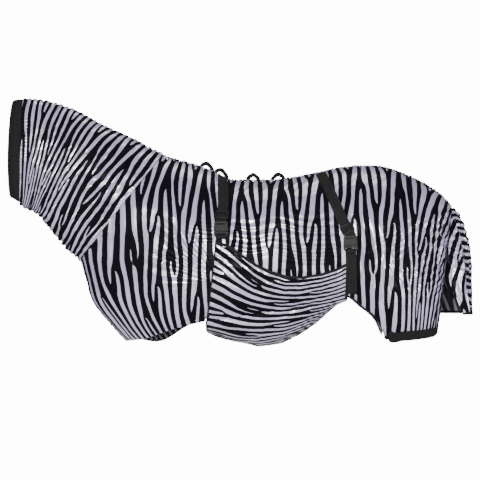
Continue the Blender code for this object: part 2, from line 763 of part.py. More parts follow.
def make_buckle(name, frame):
    """Side-release buckle: socket above the mouth at local Y 0, latch below it, two springy prongs."""
    half_width = SOCKET_WIDTH / 2
    half_thick = SOCKET_THICK / 2
    chamfer = SOCKET_CHAMFER
    outline = [
        (-half_width + chamfer, -SOCKET_LENGTH),
        (half_width - chamfer, -SOCKET_LENGTH),
        (half_width, -SOCKET_LENGTH + chamfer),
        (half_width, 0.0),
        (-half_width, 0.0),
        (-half_width, -SOCKET_LENGTH + chamfer),
    ]
    socket = add_object(
        name + "_socket", outline_mesh("socket", outline, -half_thick, half_thick), "buckle", frame
    )
    inner = half_width - SOCKET_SIDE
    cavity_end = -PRONG_LENGTH - SOCKET_LEAD
    room = half_thick - SOCKET_WALL
    cavity = box_mesh("cavity", (-inner, cavity_end, -room), (inner, chamfer, room))
    cut(socket, name + "_cavity", cavity, frame)
    window_start = -PRONG_LENGTH + 2 * PLAY
    opening = half_thick - WINDOW_WALL
    window = box_mesh(
        "window",
        (-SOCKET_WIDTH, window_start, -opening),
        (SOCKET_WIDTH, window_start + WINDOW_LENGTH, opening),
    )
    cut(socket, name + "_window", window, frame)
    slot_half = WEBBING_THICK / 2 + CLEARANCE
    slot = box_mesh(
        "slot",
        (-WEBBING_WIDTH / 2 - 3 * CLEARANCE, -SOCKET_LENGTH - chamfer, -slot_half),
        (WEBBING_WIDTH / 2 + 3 * CLEARANCE, -SOCKET_LENGTH + SOCKET_TUCK, slot_half),
    )
    cut(socket, name + "_slot", slot, frame)

    thick = room - PLAY
    start = 2 * PLAY
    outer = inner - PLAY
    notch_low = outer - PRONG_WIDTH * 1.9
    tongue = TONGUE / 2
    base = [
        (-half_width, start),
        (-notch_low, start),
        (-tongue, start),
        (-tongue, -PRONG_LENGTH * 0.85),
        (tongue, -PRONG_LENGTH * 0.85),
        (tongue, start),
        (notch_low, start),
        (half_width, start),
        (half_width, start + LATCH_LENGTH - chamfer),
        (half_width - chamfer, start + LATCH_LENGTH),
        (-half_width + chamfer, start + LATCH_LENGTH),
        (-half_width, start + LATCH_LENGTH - chamfer),
    ]
    latch_mesh = outline_mesh("latch", list(reversed(base)), -thick, thick)
    latch = add_object(name + "_latch", latch_mesh, "buckle", frame)
    loop = box_mesh(
        "loop",
        (-WEBBING_WIDTH / 2 - CLEARANCE, start + LATCH_SLOT[0], -SOCKET_THICK),
        (WEBBING_WIDTH / 2 + CLEARANCE, start + LATCH_SLOT[1], SOCKET_THICK),
    )
    cut(latch, name + "_loop", loop, frame)
    make_latch_loop(name, frame, thick, start)
    for tag, side in (("aft", -1), ("fore", 1)):
        prong = [
            (side * (outer - PRONG_WIDTH * 1.6), 0.0),
            (side * (outer - PRONG_WIDTH * 0.7), 0.0),
            (side * (outer - PRONG_WIDTH * 0.5), -PRONG_LENGTH * (PRONG_SHOULDER - 0.05)),
            (side * outer, -PRONG_LENGTH * PRONG_SHOULDER),
            (side * outer, -PRONG_LENGTH * PRONG_CROWN),
            (side * (outer - PRONG_WIDTH * 1.2), -PRONG_LENGTH),
            (side * (outer - PRONG_WIDTH * 1.7), -PRONG_LENGTH * 0.97),
        ]
        if side > 0:
            prong = list(reversed(prong))
        mesh = outline_mesh("prong", prong, -thick * 0.85, thick * 0.85)
        pivot = Matrix.Translation((side * (outer - PRONG_WIDTH * 1.15), 0.0, 0.0))
        mesh.transform(pivot.inverted())
        add_object(name + "_prong_" + tag, mesh, "buckle", frame @ pivot)


def make_latch_loop(name, frame, thick, start):
    """Short webbing loop round the latch's end bar, as it is sewn to the wrap's webbing."""
    slot = start + (LATCH_SLOT[0] + LATCH_SLOT[1]) / 2
    lay = thick + CLEARANCE + WEBBING_THICK / 2
    tail = start + LATCH_LENGTH + LATCH_TAIL
    outline = [(tail, -lay), (slot + lay, -lay)]
    turns = np.linspace(-LATCH_TURN, LATCH_TURN, 7)
    outline += [(slot + lay - lay * math.cos(a), lay * math.sin(a)) for a in turns]
    outline += [(slot + lay, lay), (tail, lay)]
    path = [frame_point(frame, 0.0, y, z) for y, z in outline]
    slopes = np.gradient(np.asarray(outline), axis=0)
    normals = []
    for dy, dz in slopes:
        turned = frame_point(frame, 0.0, -dz, dy) - frame_point(frame, 0.0, 0.0, 0.0)
        normals.append(turned / -np.linalg.norm(turned))
    ribbon(name + "_latch_loop", path, [-n for n in normals])


def make_lower_straps():
    standing = WRAP_CLEARANCE + CLOTH + LOWER_STRAP_CLEARANCE + WEBBING_THICK / 2
    buckle, end = graded(REAR_STRAP[2]), graded(REAR_STRAP[3])
    path, normals = [], []
    wrap_z = graded(WRAP_TOP[-1])[1]
    for f in np.linspace(LOWER_STRAP_START, 1.0, 12):
        place = buckle + (end - buckle) * f
        over = blend_step(-place[1], -wrap_z - STRAP_RISE[0], -wrap_z - STRAP_RISE[1])
        offset = UNDER_STRAP_OFFSET + (standing - UNDER_STRAP_OFFSET) * over
        point, normal = near_point(place[0], place[1], offset)
        path.append(point)
        normals.append(normal)
    ribbon("rear_strap_lower", path, normals)
    buckle, end = graded(FRONT_STRAP[2]), graded(FRONT_STRAP[3])
    down = (end - buckle) / np.linalg.norm(end - buckle)
    path, normals = [], []
    edge_z = graded(WRAP_TOP[0])[1]
    for z in np.linspace(edge_z + TAB_SPAN[0], edge_z + TAB_SPAN[1], 4):
        x = buckle[0] + down[0] * (buckle[1] - z)
        point, normal = near_point(x, z, WRAP_CLEARANCE + CLOTH / 2)
        path.append(point)
        normals.append(normal)
    ribbon("front_wrap_tab", path, normals)


def topline(x):
    """Height of the topline over x."""
    tops = [smooth(TOPS, s) for s in np.linspace(0.0, TAIL_EDGE, 8 * TAIL_EDGE + 1)]
    return float(np.interp(x, [top[0] for top in tops], [top[1] for top in tops]))


def make_keepers():
    """Small webbing arches on the back strip, open from side to side."""
    foot = 3 * CLEARANCE
    for number, place in enumerate(KEEPERS, start=1):
        centre = place * LENGTH_GRADE
        path = []
        for turn in np.linspace(0.0, math.pi, 13):
            x = centre - KEEPER_LENGTH / 2 * math.cos(turn)
            rise = foot + KEEPER_HEIGHT * math.sin(turn) ** KEEPER_FULLNESS
            path.append(np.array([x, 0.0, topline(x) + rise]))
        slopes = np.gradient(np.asarray(path), axis=0)
        normals = [np.array([-slope[2], 0.0, slope[0]]) / np.linalg.norm(slope) for slope in slopes]
        ribbon("keeper_loop_%d" % number, path, normals, width=KEEPER_WIDTH)


def main():
    clear_scene()
    neck_start = face_band_end()
    make_face_band(neck_start)
    make_neck(neck_start)
    make_body()
    make_chest_panel()
    make_hem_trims()
    make_wrap()
    make_tail()
    make_strap("front", FRONT_STRAP)
    make_strap("rear", REAR_STRAP)
    make_lower_straps()
    make_keepers()


main()
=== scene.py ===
"""Zebra-print full-neck horse fly sheet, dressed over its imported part.

Metres, head towards -X, tail towards +X, the near side towards -Y, up is +Z.
"""

import math
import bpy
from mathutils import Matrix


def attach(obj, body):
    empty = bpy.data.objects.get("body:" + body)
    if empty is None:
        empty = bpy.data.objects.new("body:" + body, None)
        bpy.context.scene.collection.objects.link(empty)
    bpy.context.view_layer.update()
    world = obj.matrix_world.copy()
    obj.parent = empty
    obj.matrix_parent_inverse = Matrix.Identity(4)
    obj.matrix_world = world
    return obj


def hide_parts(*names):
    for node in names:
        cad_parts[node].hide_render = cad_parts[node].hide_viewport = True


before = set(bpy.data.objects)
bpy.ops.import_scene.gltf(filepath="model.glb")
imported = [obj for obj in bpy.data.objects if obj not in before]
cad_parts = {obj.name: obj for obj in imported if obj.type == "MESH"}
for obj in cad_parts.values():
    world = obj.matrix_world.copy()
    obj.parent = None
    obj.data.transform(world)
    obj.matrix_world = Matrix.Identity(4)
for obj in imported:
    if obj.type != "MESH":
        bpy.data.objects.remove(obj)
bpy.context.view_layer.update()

from types import SimpleNamespace

import bmesh
import bpy
import numpy as np
from mathutils import Matrix, Vector

# ---------------------------------------------------------------- sizes, as in the part

STATIONS = np.array(
    [
        (-1.044, 0.368, -1.056, -0.074, 0.085, 0.50, 0.000),
        (-1.017, 0.375, -1.033, -0.087, 0.092, 0.50, 0.000),
        (-0.920, 0.370, -0.929, -0.154, 0.105, 0.50, 0.000),
        (-0.773, 0.327, -0.846, -0.248, 0.120, 0.48, 0.000),
        (-0.626, 0.251, -0.800, -0.306, 0.135, 0.47, 0.000),
        (-0.483, 0.186, -0.764, -0.336, 0.160, 0.46, 0.000),
        (-0.354, 0.120, -0.734, -0.368, 0.185, 0.46, 0.000),
        (-0.299, 0.101, -0.711, -0.442, 0.205, 0.48, 0.000),
        (-0.248, 0.087, -0.672, -0.557, 0.222, 0.50, 0.000),
        (-0.202, 0.074, -0.612, -0.639, 0.235, 0.52, 0.000),
        (-0.161, 0.060, -0.529, -0.731, 0.245, 0.53, 0.000),
        (-0.147, 0.055, -0.506, -0.731, 0.250, 0.53, 0.080),
        (-0.120, 0.046, -0.428, -0.718, 0.257, 0.54, 0.155),
        (-0.078, 0.023, -0.299, -0.674, 0.266, 0.54, 0.200),
        (-0.028, 0.005, -0.156, -0.639, 0.275, 0.54, 0.210),
        (0.046, 0.005, 0.000, -0.614, 0.285, 0.54, 0.210),
        (0.147, 0.005, 0.129, -0.593, 0.290, 0.54, 0.210),
        (0.253, 0.018, 0.262, -0.572, 0.288, 0.54, 0.210),
        (0.359, 0.039, 0.391, -0.551, 0.280, 0.54, 0.210),
        (0.451, 0.060, 0.488, -0.535, 0.272, 0.54, 0.210),
        (0.534, 0.069, 0.557, -0.584, 0.270, 0.54, 0.215),
        (0.607, 0.069, 0.621, -0.639, 0.272, 0.53, 0.220),
        (0.672, 0.062, 0.672, -0.731, 0.275, 0.50, 0.220),
        (0.745, 0.037, 0.745, -0.729, 0.275, 0.50, 0.215),
        (0.828, 0.000, 0.819, -0.722, 0.266, 0.50, 0.195),
        (0.902, -0.046, 0.874, -0.713, 0.240, 0.50, 0.165),
        (0.948, -0.087, 0.892, -0.706, 0.190, 0.50, 0.130),
        (0.973, -0.117, 0.902, -0.699, 0.120, 0.50, 0.090),
    ]
)
NECK_SEAM, CHEST_END, HEM_START, WRAP_FRONT, FLANK = 6, 9.96, 10.2, 14, 19
FLANK_END, LEG_BAND_START, TAIL_EDGE = 21.85, 22, 27
ROUNDNESS = 2.2
STRIP_HALF, CHEST_HALF = 0.050, 0.035
BINDING, LEG_BAND, FACE_BAND = 0.013, 0.050, 0.048
FAR_HEM_DROP = 0.045
WRAP_STAND = 0.006
WRAP_UNDER = 0.55
WRAP_TOP = np.array(
    [
        (-0.110, -0.267),
        (-0.055, -0.288),
        (0.010, -0.334),
        (0.070, -0.376),
        (0.138, -0.409),
        (0.207, -0.432),
        (0.276, -0.437),
        (0.368, -0.423),
        (0.437, -0.400),
        (0.492, -0.372),
    ]
)
WRAP_SAG = np.array(
    [
        (-0.166, 0.040),
        (-0.110, 0.076),
        (-0.028, 0.113),
        (0.083, 0.154),
        (0.193, 0.158),
        (0.276, 0.130),
        (0.359, 0.083),
        (0.442, 0.020),
        (0.492, 0.008),
    ]
)
TAIL_LEVELS = np.array(
    [
        (0.986, -0.124, 0.036, 0.012, 0.012),
        (1.008, -0.166, 0.080, 0.046, 0.046),
        (1.030, -0.216, 0.108, 0.072, 0.072),
        (1.049, -0.294, 0.134, 0.100, 0.100),
        (1.058, -0.386, 0.150, 0.106, 0.110),
        (1.060, -0.464, 0.158, 0.106, 0.122),
        (1.064, -0.547, 0.160, 0.075, 0.132),
        (1.067, -0.610, 0.156, 0.053, 0.136),
    ]
)
FRONT_STRAP = ((-0.080, 0.010), (-0.081, -0.163), (-0.084, -0.236), (-0.084, -0.262))
REAR_STRAP = ((0.370, 0.028), (0.482, -0.222), (0.498, -0.297), (0.509, -0.512))
KEEPERS = (-0.152, -0.085, 0.060, 0.175)
WEBBING, WEBBING_THICK = 0.048, 0.0022
STRAP_OFFSET, SLIDER_OFFSET, BUCKLE_OFFSET = 0.0075, 0.0125, 0.0155
SLIDER_LENGTH, SLIDER_TRAVEL, SLIDER_BAR, SLIDER_POST = 0.041, 0.035, 0.0042, 0.005
SOCKET_LENGTH, SOCKET_WIDTH, SOCKET_THICK = 0.046, 0.064, 0.013
SOCKET_LEAD, SOCKET_TUCK, SOCKET_WALL = 0.002, 0.008, 0.0035
LATCH_LENGTH, LATCH_TAIL, PRONG_LENGTH, PRONG_WIDTH = 0.022, 0.010, 0.034, 0.0055
RIB_SPACING, RIB_RADIUS = 0.005, 0.0007
WRAP_EDGE = 0.972

NEAR, FAR = -1, 1
SIDES = (("left", NEAR), ("right", FAR))


# ---------------------------------------------------------------- the sheet's form


def smooth(values, s):
    """Rows of numbers at the fractional positions s, on a smooth curve through them."""
    s = np.asarray(s, float)
    last = len(values) - 1
    i = np.clip(np.floor(s).astype(int), 0, last - 1)
    f = (s - i)[..., None]
    a, b = values[i], values[i + 1]
    ta = (b - values[np.maximum(i - 1, 0)]) / np.where(i > 0, 2, 1)[..., None]
    tb = (values[np.minimum(i + 2, last)] - a) / np.where(i + 2 <= last, 2, 1)[..., None]
    return (
        (2 * f**3 - 3 * f**2 + 1) * a
        + (f**3 - 2 * f**2 + f) * ta
        + (-2 * f**3 + 3 * f**2) * b
        + (f**3 - f**2) * tb
    )


def sections(s, far):
    """Half cross-sections at stations s, spine to lower edge, and the distance along each."""
    row = smooth(STATIONS, s)
    if far:
        row[:, 3] -= FAR_HEM_DROP * np.exp(-(((s - 12.6) / 0.7) ** 2))
    top, fall = row[:, 0:2], row[:, 2:4] - row[:, 0:2]
    width, widest = row[:, 4:5], row[:, 5:6]
    opening = np.maximum(row[:, 6:7], 0) / width
    turn = np.linspace(0, math.pi / 2, 90)
    low = np.sin(turn)[1:]
    drop = np.hstack([widest * (1 - np.cos(turn) ** (2 / ROUNDNESS)), widest + (1 - widest) * low])
    under = np.maximum(1 - (1 - opening**ROUNDNESS) * low**ROUNDNESS, 0)
    half = np.hstack([width * np.sin(turn) ** (2 / ROUNDNESS), width * under ** (1 / ROUNDNESS)])
    points = np.stack([top[:, :1] + drop * fall[:, :1], half, top[:, 1:] + drop * fall[:, 1:]], axis=2)
    steps = np.linalg.norm(np.diff(points, axis=1), axis=2)
    return points, np.hstack([np.zeros((len(s), 1)), np.cumsum(steps, axis=1)])


def on_form(s, arcs):
    """Points of the worn surface at stations s and signed distances from the spine, far side positive."""
    out = np.empty((*arcs.shape, 3))
    for far in (False, True):
        points, along = sections(s, far)
        for i in range(len(s)):
            here = (arcs[i] > 0) == far
            for k in range(3):
                out[i, here, k] = np.interp(abs(arcs[i, here]), along[i], points[i, :, k])
    out[..., 1] *= np.where(arcs < 0, -1, 1)
    return out


def unit(vectors):
    return vectors / np.maximum(np.linalg.norm(vectors, axis=-1, keepdims=True), 1e-12)


def normals_of(points, looped=False):
    if looped:
        wide = np.concatenate([points[:, -2:], points, points[:, :2]], axis=1)
        return normals_of(wide)[:, 2:-2]
    return unit(np.cross(np.gradient(points, axis=0), np.gradient(points, axis=1)))


def runs(path):
    """Distance along a path at each of its points."""
    return np.concatenate([[0], np.cumsum(np.linalg.norm(np.diff(path, axis=0), axis=1))])


def travel(points, axis=0):
    """Distance travelled over a grid of points along one of its axes."""
    return np.cumsum(np.linalg.norm(np.gradient(points, axis=axis), axis=2), axis=axis)


def even_stations(start, end, step):
    """Stations whose planes are about one step apart, halfway between topline and lower edge."""
    s = np.linspace(start, end, 1500)
    rows = smooth(STATIONS, s)
    top, low = (np.linalg.norm(np.diff(ends, axis=0), axis=1) for ends in (rows[:, :2], rows[:, 2:4]))
    run = np.concatenate([[0], np.cumsum((top + low) / 2 + 1e-6)])
    count = int(run[-1] / step) + 2
    return np.interp(np.linspace(0, run[-1], count), run, s)


def station_at(x, z):
    """Stations whose planes pass through the points (x, z)."""
    low, high = np.zeros(np.shape(x)), np.full(np.shape(x), float(TAIL_EDGE))
    for _ in range(34):
        middle = (low + high) / 2
        row = smooth(STATIONS, middle)
        share = (z - row[..., 1]) / (row[..., 3] - row[..., 1])
        before = row[..., 0] + share * (row[..., 2] - row[..., 0]) < x
        low, high = np.where(before, middle, low), np.where(before, high, middle)
    return (low + high) / 2


def near_side(x, z):
    """Points of the near side over (x, z)."""
    row = smooth(STATIONS, station_at(x, z))
    share = np.clip((z - row[..., 1]) / (row[..., 3] - row[..., 1]), 0, 1)
    width, widest, opening = row[..., 4], row[..., 5], np.maximum(row[..., 6], 0) / row[..., 4]
    upper = 1 - np.maximum(1 - share / widest, 0) ** ROUNDNESS
    low = np.maximum((share - widest) / (1 - widest), 0)
    under = np.maximum(1 - (1 - opening**ROUNDNESS) * low**ROUNDNESS, 0)
    half = width * np.where(share < widest, upper, under) ** (1 / ROUNDNESS)
    return np.stack([x, -half, z], axis=-1)


def near_point(x, z, offset=0.0):
    """Points of the near side over (x, z), moved out by offset, and the outward normals."""
    x, z = np.asarray(x, float), np.asarray(z, float)
    step = 0.004
    along = near_side(x + step, z) - near_side(x - step, z)
    up = near_side(x, z + step) - near_side(x, z - step)
    normal = unit(np.cross(along, up))
    return near_side(x, z) + normal * np.asarray(offset)[..., None], normal


def topline(x):
    tops = smooth(STATIONS, np.linspace(0, TAIL_EDGE, 500))
    return np.interp(x, tops[:, 0], tops[:, 1])


# ---------------------------------------------------------------- folds


def noise(x, y, seed):
    """Smooth unevenness between about -1 and 1; x and y are in cells."""
    x, y = np.broadcast_arrays(np.asarray(x, float), np.asarray(y, float))
    turn = np.random.default_rng(seed).random((256, 256)) * 2 * math.pi
    xi, yi = np.floor(x).astype(int), np.floor(y).astype(int)
    xf, yf = x - xi, y - yi
    u, v = (t**3 * (t * (t * 6 - 15) + 10) for t in (xf, yf))

    def corner(dx, dy):
        a = turn[(xi + dx) % 256, (yi + dy) % 256]
        return np.cos(a) * (xf - dx) + np.sin(a) * (yf - dy)

    top = corner(0, 0) * (1 - u) + corner(1, 0) * u
    return 1.5 * (top * (1 - v) + (corner(0, 1) * (1 - u) + corner(1, 1) * u) * v)


def step(x, low, high):
    f = np.clip((x - low) / (high - low), 0, 1)
    return f * f * (3 - 2 * f)


def bell(x, middle, width):
    return np.exp(-(((x - middle) / width) ** 2))


def gathers(run, across, pitch, seed, wander=0.55):
    """Uneven ridges side by side: run is the distance along the seam they leave, across from it."""
    shift = wander * noise(run / (3.5 * pitch), across / (5 * pitch), seed)
    size = 0.8 + 0.7 * noise(run / (2.5 * pitch), across / (7 * pitch), seed + 1)
    wave = np.sin(2 * math.pi * (run / pitch + shift))
    return size * (wave + 0.25 * wave * wave)


def drapes(run, across, pitch, seed):
    """Soft irregular folds that keep to lines of equal run."""
    warp = 0.6 * noise(run / (4 * pitch), across / (8 * pitch), seed)
    return 1 - 2 * abs(noise(run / pitch + warp, across / (9 * pitch), seed + 1))


def soften(height, low, high):
    """Height kept between low and high with rounded shoulders."""
    return np.where(height > 0, high * np.tanh(height / high), low * np.tanh(height / low))


def crease(x, z, start, end, width):
    """Depth of a pinched line from start to end: 1 on the line, and which side of it a point is."""
    (x0, z0), (x1, z1) = start, end
    dx, dz = x1 - x0, z1 - z0
    length = math.hypot(dx, dz)
    along = ((x - x0) * dx + (z - z0) * dz) / length**2
    off = ((x - x0) * dz - (z - z0) * dx) / length
    reach = step(along, -0.12, 0.15) * (1 - step(along, 0.85, 1.12))
    return reach * np.exp(-((off / width) ** 2)), reach * np.tanh(off / width)


def body_folds(lay):
    x, z, a, s = lay.points[..., 0], lay.points[..., 2], lay.from_spine, lay.stations[:, None]
    run, seed = lay.run, lay.seed
    strip = a - STRIP_HALF
    out = 0.0060 * noise(x / 0.24, z / 0.17, seed) + 0.0022 * noise(x / 0.060, z / 0.08, seed + 1)
    out += 0.0030 * np.exp(-strip / 0.030) * gathers(run, strip, 0.018, seed + 2)
    out += 0.0036 * np.exp(-strip / 0.110) * gathers(run, strip, 0.045, seed + 4)
    rump = step(x, 0.40, 0.62) * step(-z, -0.02, 0.14)
    out += 0.0100 * rump * drapes(x + 0.16 * (z + 0.35), z, 0.060, seed + 6)
    out += 0.0034 * rump * drapes(x + 0.10 * (z + 0.35), z, 0.026, seed + 8)
    dx, dz = x - 0.985, z + 0.075
    r, turn = np.hypot(dx, dz), np.arctan2(-dx, -dz)
    fan = step(r, 0.03, 0.09) * (1 - step(r, 0.36, 0.66)) * bell(turn, 0.42, 0.50)
    out += 0.0068 * fan * gathers(turn * 0.26, r, 0.031, seed + 10)
    out += 0.0046 * fan * gathers(r + 0.5 * turn * r, turn * 0.2, 0.038, seed + 12)
    band = step(s, 21.7, 22.2) * np.exp(-np.maximum(lay.from_hem, 0) / 0.032)
    out += 0.0032 * band * gathers(x, lay.from_hem, 0.0145, seed + 14)
    dx, dz = x + 0.095, z + 0.475
    r, turn = np.hypot(dx, dz), np.arctan2(dz, -dx)
    pull = step(r, 0.03, 0.09) * (1 - step(r, 0.24, 0.46)) * bell(turn, 0.62, 0.42)
    out += 0.0075 * pull * gathers(turn * 0.20, r, 0.033, seed + 16)
    girth = bell(x, -0.165, 0.05) * bell(z, -0.25, 0.09)
    out += 0.0022 * girth * gathers(z, x, 0.018, seed + 18)
    barrel = step(x, -0.09, 0.0) * (1 - step(x, 0.38, 0.48)) * bell(z, -0.26, 0.13)
    out += 0.0042 * barrel * gathers(z + 0.02 * noise(x / 0.14, 0.5, seed + 20), x, 0.038, seed + 21)
    chest = 1 - step(x, -0.66, -0.40)
    out += 0.0055 * chest * drapes(lay.uv[..., 0], z, 0.055, seed + 23)
    neck = np.exp(-lay.from_front / 0.022)
    out += 0.0022 * neck * gathers(a, lay.from_front, 0.020, seed + 25)
    hem = step(s, 10.4, 11) * (1 - step(s, 13.6, 14)) * np.exp(-lay.from_hem / 0.02)
    out += 0.0022 * hem * gathers(x, lay.from_hem, 0.017, seed + 27)
    covered = step(x, -0.19, -0.17) * (1 - step(x, 0.51, 0.53)) * step(-z, 0.235, 0.265)
    calm = step(lay.from_rear, 0.03, 0.09)
    out = np.where(covered > 0.5, np.clip(out, -0.005, 0.0016), soften(out, -0.010, 0.002 + 0.011 * calm))
    for (x0, z0), (x1, z1) in ((FRONT_STRAP[0], FRONT_STRAP[2]), (REAR_STRAP[0], REAR_STRAP[3])):
        off = abs((x - x0) * (z1 - z0) - (z - z0) * (x1 - x0)) / math.hypot(x1 - x0, z1 - z0)
        webbed = (1 - step(off, 0.028, 0.045)) * (lay.side == NEAR)
        out = out * (1 - webbed) + np.clip(out, -0.004, 0.0025) * webbed
    out -= 0.0024 * bell(strip, 0, 0.0045) + 0.0020 * bell(lay.from_hem, 0, 0.004)
    return out - 0.0022 * bell(lay.from_front, 0, 0.0045)


def neck_folds(lay):
    x, z, seed = lay.points[..., 0], lay.points[..., 2], lay.seed
    crest, throat, along = lay.from_spine, lay.from_hem, lay.uv[..., 0]
    out = 0.0050 * noise(x / 0.16, z / 0.14, seed) + 0.0020 * noise(x / 0.04, z / 0.05, seed + 1)
    out += 0.0048 * np.exp(-crest / 0.060) * gathers(along, crest, 0.030, seed + 2, 0.35)
    out += 0.0020 * np.exp(-crest / 0.020) * gathers(along, crest, 0.013, seed + 4)
    out += 0.0052 * np.exp(-throat / 0.070) * gathers(lay.throat_run, throat, 0.027, seed + 6, 0.35)
    dx, dz = x + 0.985, z + 0.11
    r, turn = np.hypot(dx, dz), np.arctan2(dz, dx)
    fan = step(r, 0.015, 0.05) * (1 - step(r, 0.20, 0.44)) * bell(turn, 0.75, 0.60)
    out += 0.0042 * fan * gathers(turn * 0.13, r, 0.020, seed + 8)
    out += 0.0030 * np.exp(-lay.from_front / 0.024) * gathers(z, lay.from_front, 0.015, seed + 10)
    out += 0.0060 * drapes(along, lay.uv[..., 1], 0.048, seed + 12) * step(lay.from_front, 0.05, 0.15)
    free = step(lay.from_front, 0.04, 0.12)
    out += 0.0032 * gathers(along + 0.4 * crest, crest, 0.034, seed + 18, 0.9) * free
    for line in CREASES:
        pinch, _ = crease(x, z, *line[:2], 0.010)
        out -= line[2] * pinch
        ridge, _ = crease(x - 0.016, z, *line[:2], 0.014)
        out += 0.6 * line[2] * ridge
    out += 0.0020 * np.exp(-lay.from_rear / 0.025) * gathers(crest, lay.from_rear, 0.019, seed + 14)
    out += 0.0026 * np.exp(-lay.from_front / 0.030) * gathers(z + 0.4 * x, x, 0.011, seed + 16)
    out = soften(out, -0.009, 0.012) + 0.012 * bell(x, -0.985, 0.030) * np.exp(-throat / 0.045)
    out -= 0.0022 * bell(crest, 0, 0.0045) + 0.0022 * bell(throat, 0, 0.0045)
    return out - 0.0022 * bell(lay.from_rear, 0, 0.0045)


CREASES = (
    ((-0.575, 0.215), (-0.735, -0.205), 0.0048),
    ((-0.640, 0.020), (-0.690, -0.180), 0.0032),
    ((-0.480, 0.135), (-0.655, -0.130), 0.0026),
    ((-0.780, 0.235), (-0.930, -0.060), 0.0026),
)


# ---------------------------------------------------------------- how the print lies


def body_print(points, s, a):
    """Print coordinates on the body: across the stripes, then along them."""
    x, y, z = points[..., 0], abs(points[..., 1]), points[..., 2]
    low = smooth(STATIONS, np.linspace(NECK_SEAM, 10, 60))
    chest = np.interp(-z, -low[:, 3], low[:, 2])
    forward = np.sqrt(np.maximum(x - chest, 0) ** 2 + y**2)
    weight = step(forward, 0.0, 0.5)
    lay = (1 - weight) * forward + weight * (x + 0.775)
    lean = 0.30 * np.logaddexp(0, (z + 0.03) / 0.03) * 0.03 * (1 - step(x, -0.30, -0.08))
    sx, sy = np.gradient(x, axis=0), np.gradient(points[..., 1], axis=0)
    extra = np.cumsum(np.where(s[:, None] > 22, np.hypot(sx, sy) - abs(sx), 0), axis=0)
    slant = 0.42 * (z + 0.10) * step(x, 0.72, 0.95)
    return np.stack([lay - lean + 0.8 * extra - slant, a], axis=-1)


CREST_LINES = np.array([0.2, 1.2, 2.66, 3.57, 4.2, 4.73, 6.0, 7.0])
THROAT_LINES = np.array([0.2, 1.2, 1.55, 1.85, 2.3, 3.1, 6.0, 7.0])


def neck_print(s, share, a):
    """Print coordinates on the neck: stripes run from the crest down to the gathered throat corner."""
    tops = smooth(STATIONS, np.linspace(0, 7, 300))[:, :2]
    run = runs(tops)
    lines = np.linspace(0.2, 7.0, 200)
    throat = np.interp(lines, CREST_LINES, THROAT_LINES)
    along = np.interp(lines, np.linspace(0, 7, 300), run)
    out = np.empty(a.shape)
    for j, f in enumerate(share):
        bow = f**1.15
        out[:, j] = np.interp(s, lines * (1 - bow) + throat * bow, along)
    return np.stack([out * 1.2, a * 1.1], axis=-1)


# ---------------------------------------------------------------- making pieces


def grid_mesh(name, points, uv, looped=False, flipped=False, caps=False):
    """Mesh of a grid of points, with its own UV map of the cloth's lay in metres."""
    rows, columns = points.shape[:2]
    at = np.arange(rows * columns).reshape(rows, columns)
    if looped:
        at = np.hstack([at, at[:, :1]])
    on = np.arange(rows * at.shape[1]).reshape(rows, -1)
    corners = [(g[:-1, :-1], g[1:, :-1], g[1:, 1:], g[:-1, 1:]) for g in (at, on)]
    quads = [np.stack(four, axis=-1).reshape(-1, 4) for four in corners]
    if flipped:
        quads = [q[:, ::-1] for q in quads]
    faces = quads[0].tolist()
    lay = uv.reshape(-1, 2)[quads[1].ravel()]
    if caps:
        ends = [at[0, :-1], at[-1, :-1][::-1]]
        if flipped:
            ends = [e[::-1] for e in ends]
        faces += [e.tolist() for e in ends]
        lay = np.vstack([lay, np.zeros((2 * columns, 2))])
    mesh = bpy.data.meshes.new(name)
    mesh.from_pydata(points.reshape(-1, 3).tolist(), [], faces)
    mesh.uv_layers.new(name="lay").uv.foreach_set("vector", lay.astype(np.float32).ravel())
    mesh.shade_smooth()
    return mesh


def place(name, mesh, *materials):
    for material in materials:
        mesh.materials.append(material)
    piece = bpy.data.objects.new(name, mesh)
    bpy.context.scene.collection.objects.link(piece)
    return piece


def solidify(piece, thick, lined=True):
    wall = piece.modifiers.new("thickness", "SOLIDIFY")
    wall.thickness = thick
    wall.offset = -1
    wall.use_even_offset = False
    if lined:
        wall.material_offset = 1


def length_of(path):
    return float(np.linalg.norm(np.diff(path, axis=0), axis=1).sum())


def finish(piece, body, slot, *nodes):
    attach(piece, body)
    if nodes:
        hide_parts(*nodes)
    return piece


def cloth(name, lay, folds, outer, body, slot, thick=0.0012, nodes=()):
    """Cloth panel from its lay and folds, given its thickness and attached to its body; slot is not used."""
    points = lay.points + lay.normals * folds[..., None]
    flipped = lay.side == NEAR
    piece = place(name, grid_mesh(name, points, lay.uv, flipped=flipped), outer, LINING)
    solidify(piece, thick)
    finish(piece, body, slot, *nodes)
    lay.shown = points
    return piece


def tape_profile(width, thick, count=9):
    """Outline of flat tape with rounded edges, as (across, outwards)."""
    half, round_ = width / 2, thick / 2
    x = np.linspace(-half + round_, half - round_, count)
    turns = np.linspace(-math.pi / 2, math.pi / 2, 5)[1:-1]
    right = [(half - round_ + round_ * math.cos(t), round_ * math.sin(t)) for t in turns]
    left = [(-x1, -z1) for x1, z1 in right]
    outline = [(v, -round_) for v in x] + right + [(v, round_) for v in x[::-1]] + left
    return np.array(outline)


def sweep(name, path, across, normal, profile, material):
    """Closed tape along a path; across and normal are its sideways and outward directions."""
    rings = path[:, None] + across[:, None] * profile[None, :, :1] + normal[:, None] * profile[None, :, 1:]
    run = runs(path)
    sideways = np.append(profile[:, 0], profile[0, 0])
    uv = np.stack(np.broadcast_arrays(run[:, None], sideways[None]), axis=-1)
    middle = len(path) // 2
    forward = path[middle + 1] - path[middle]
    flipped = float(np.dot(np.cross(across[middle], normal[middle]), forward)) > 0
    mesh = grid_mesh(name, rings, uv, looped=True, flipped=flipped, caps=True)
    return place(name, mesh, material)


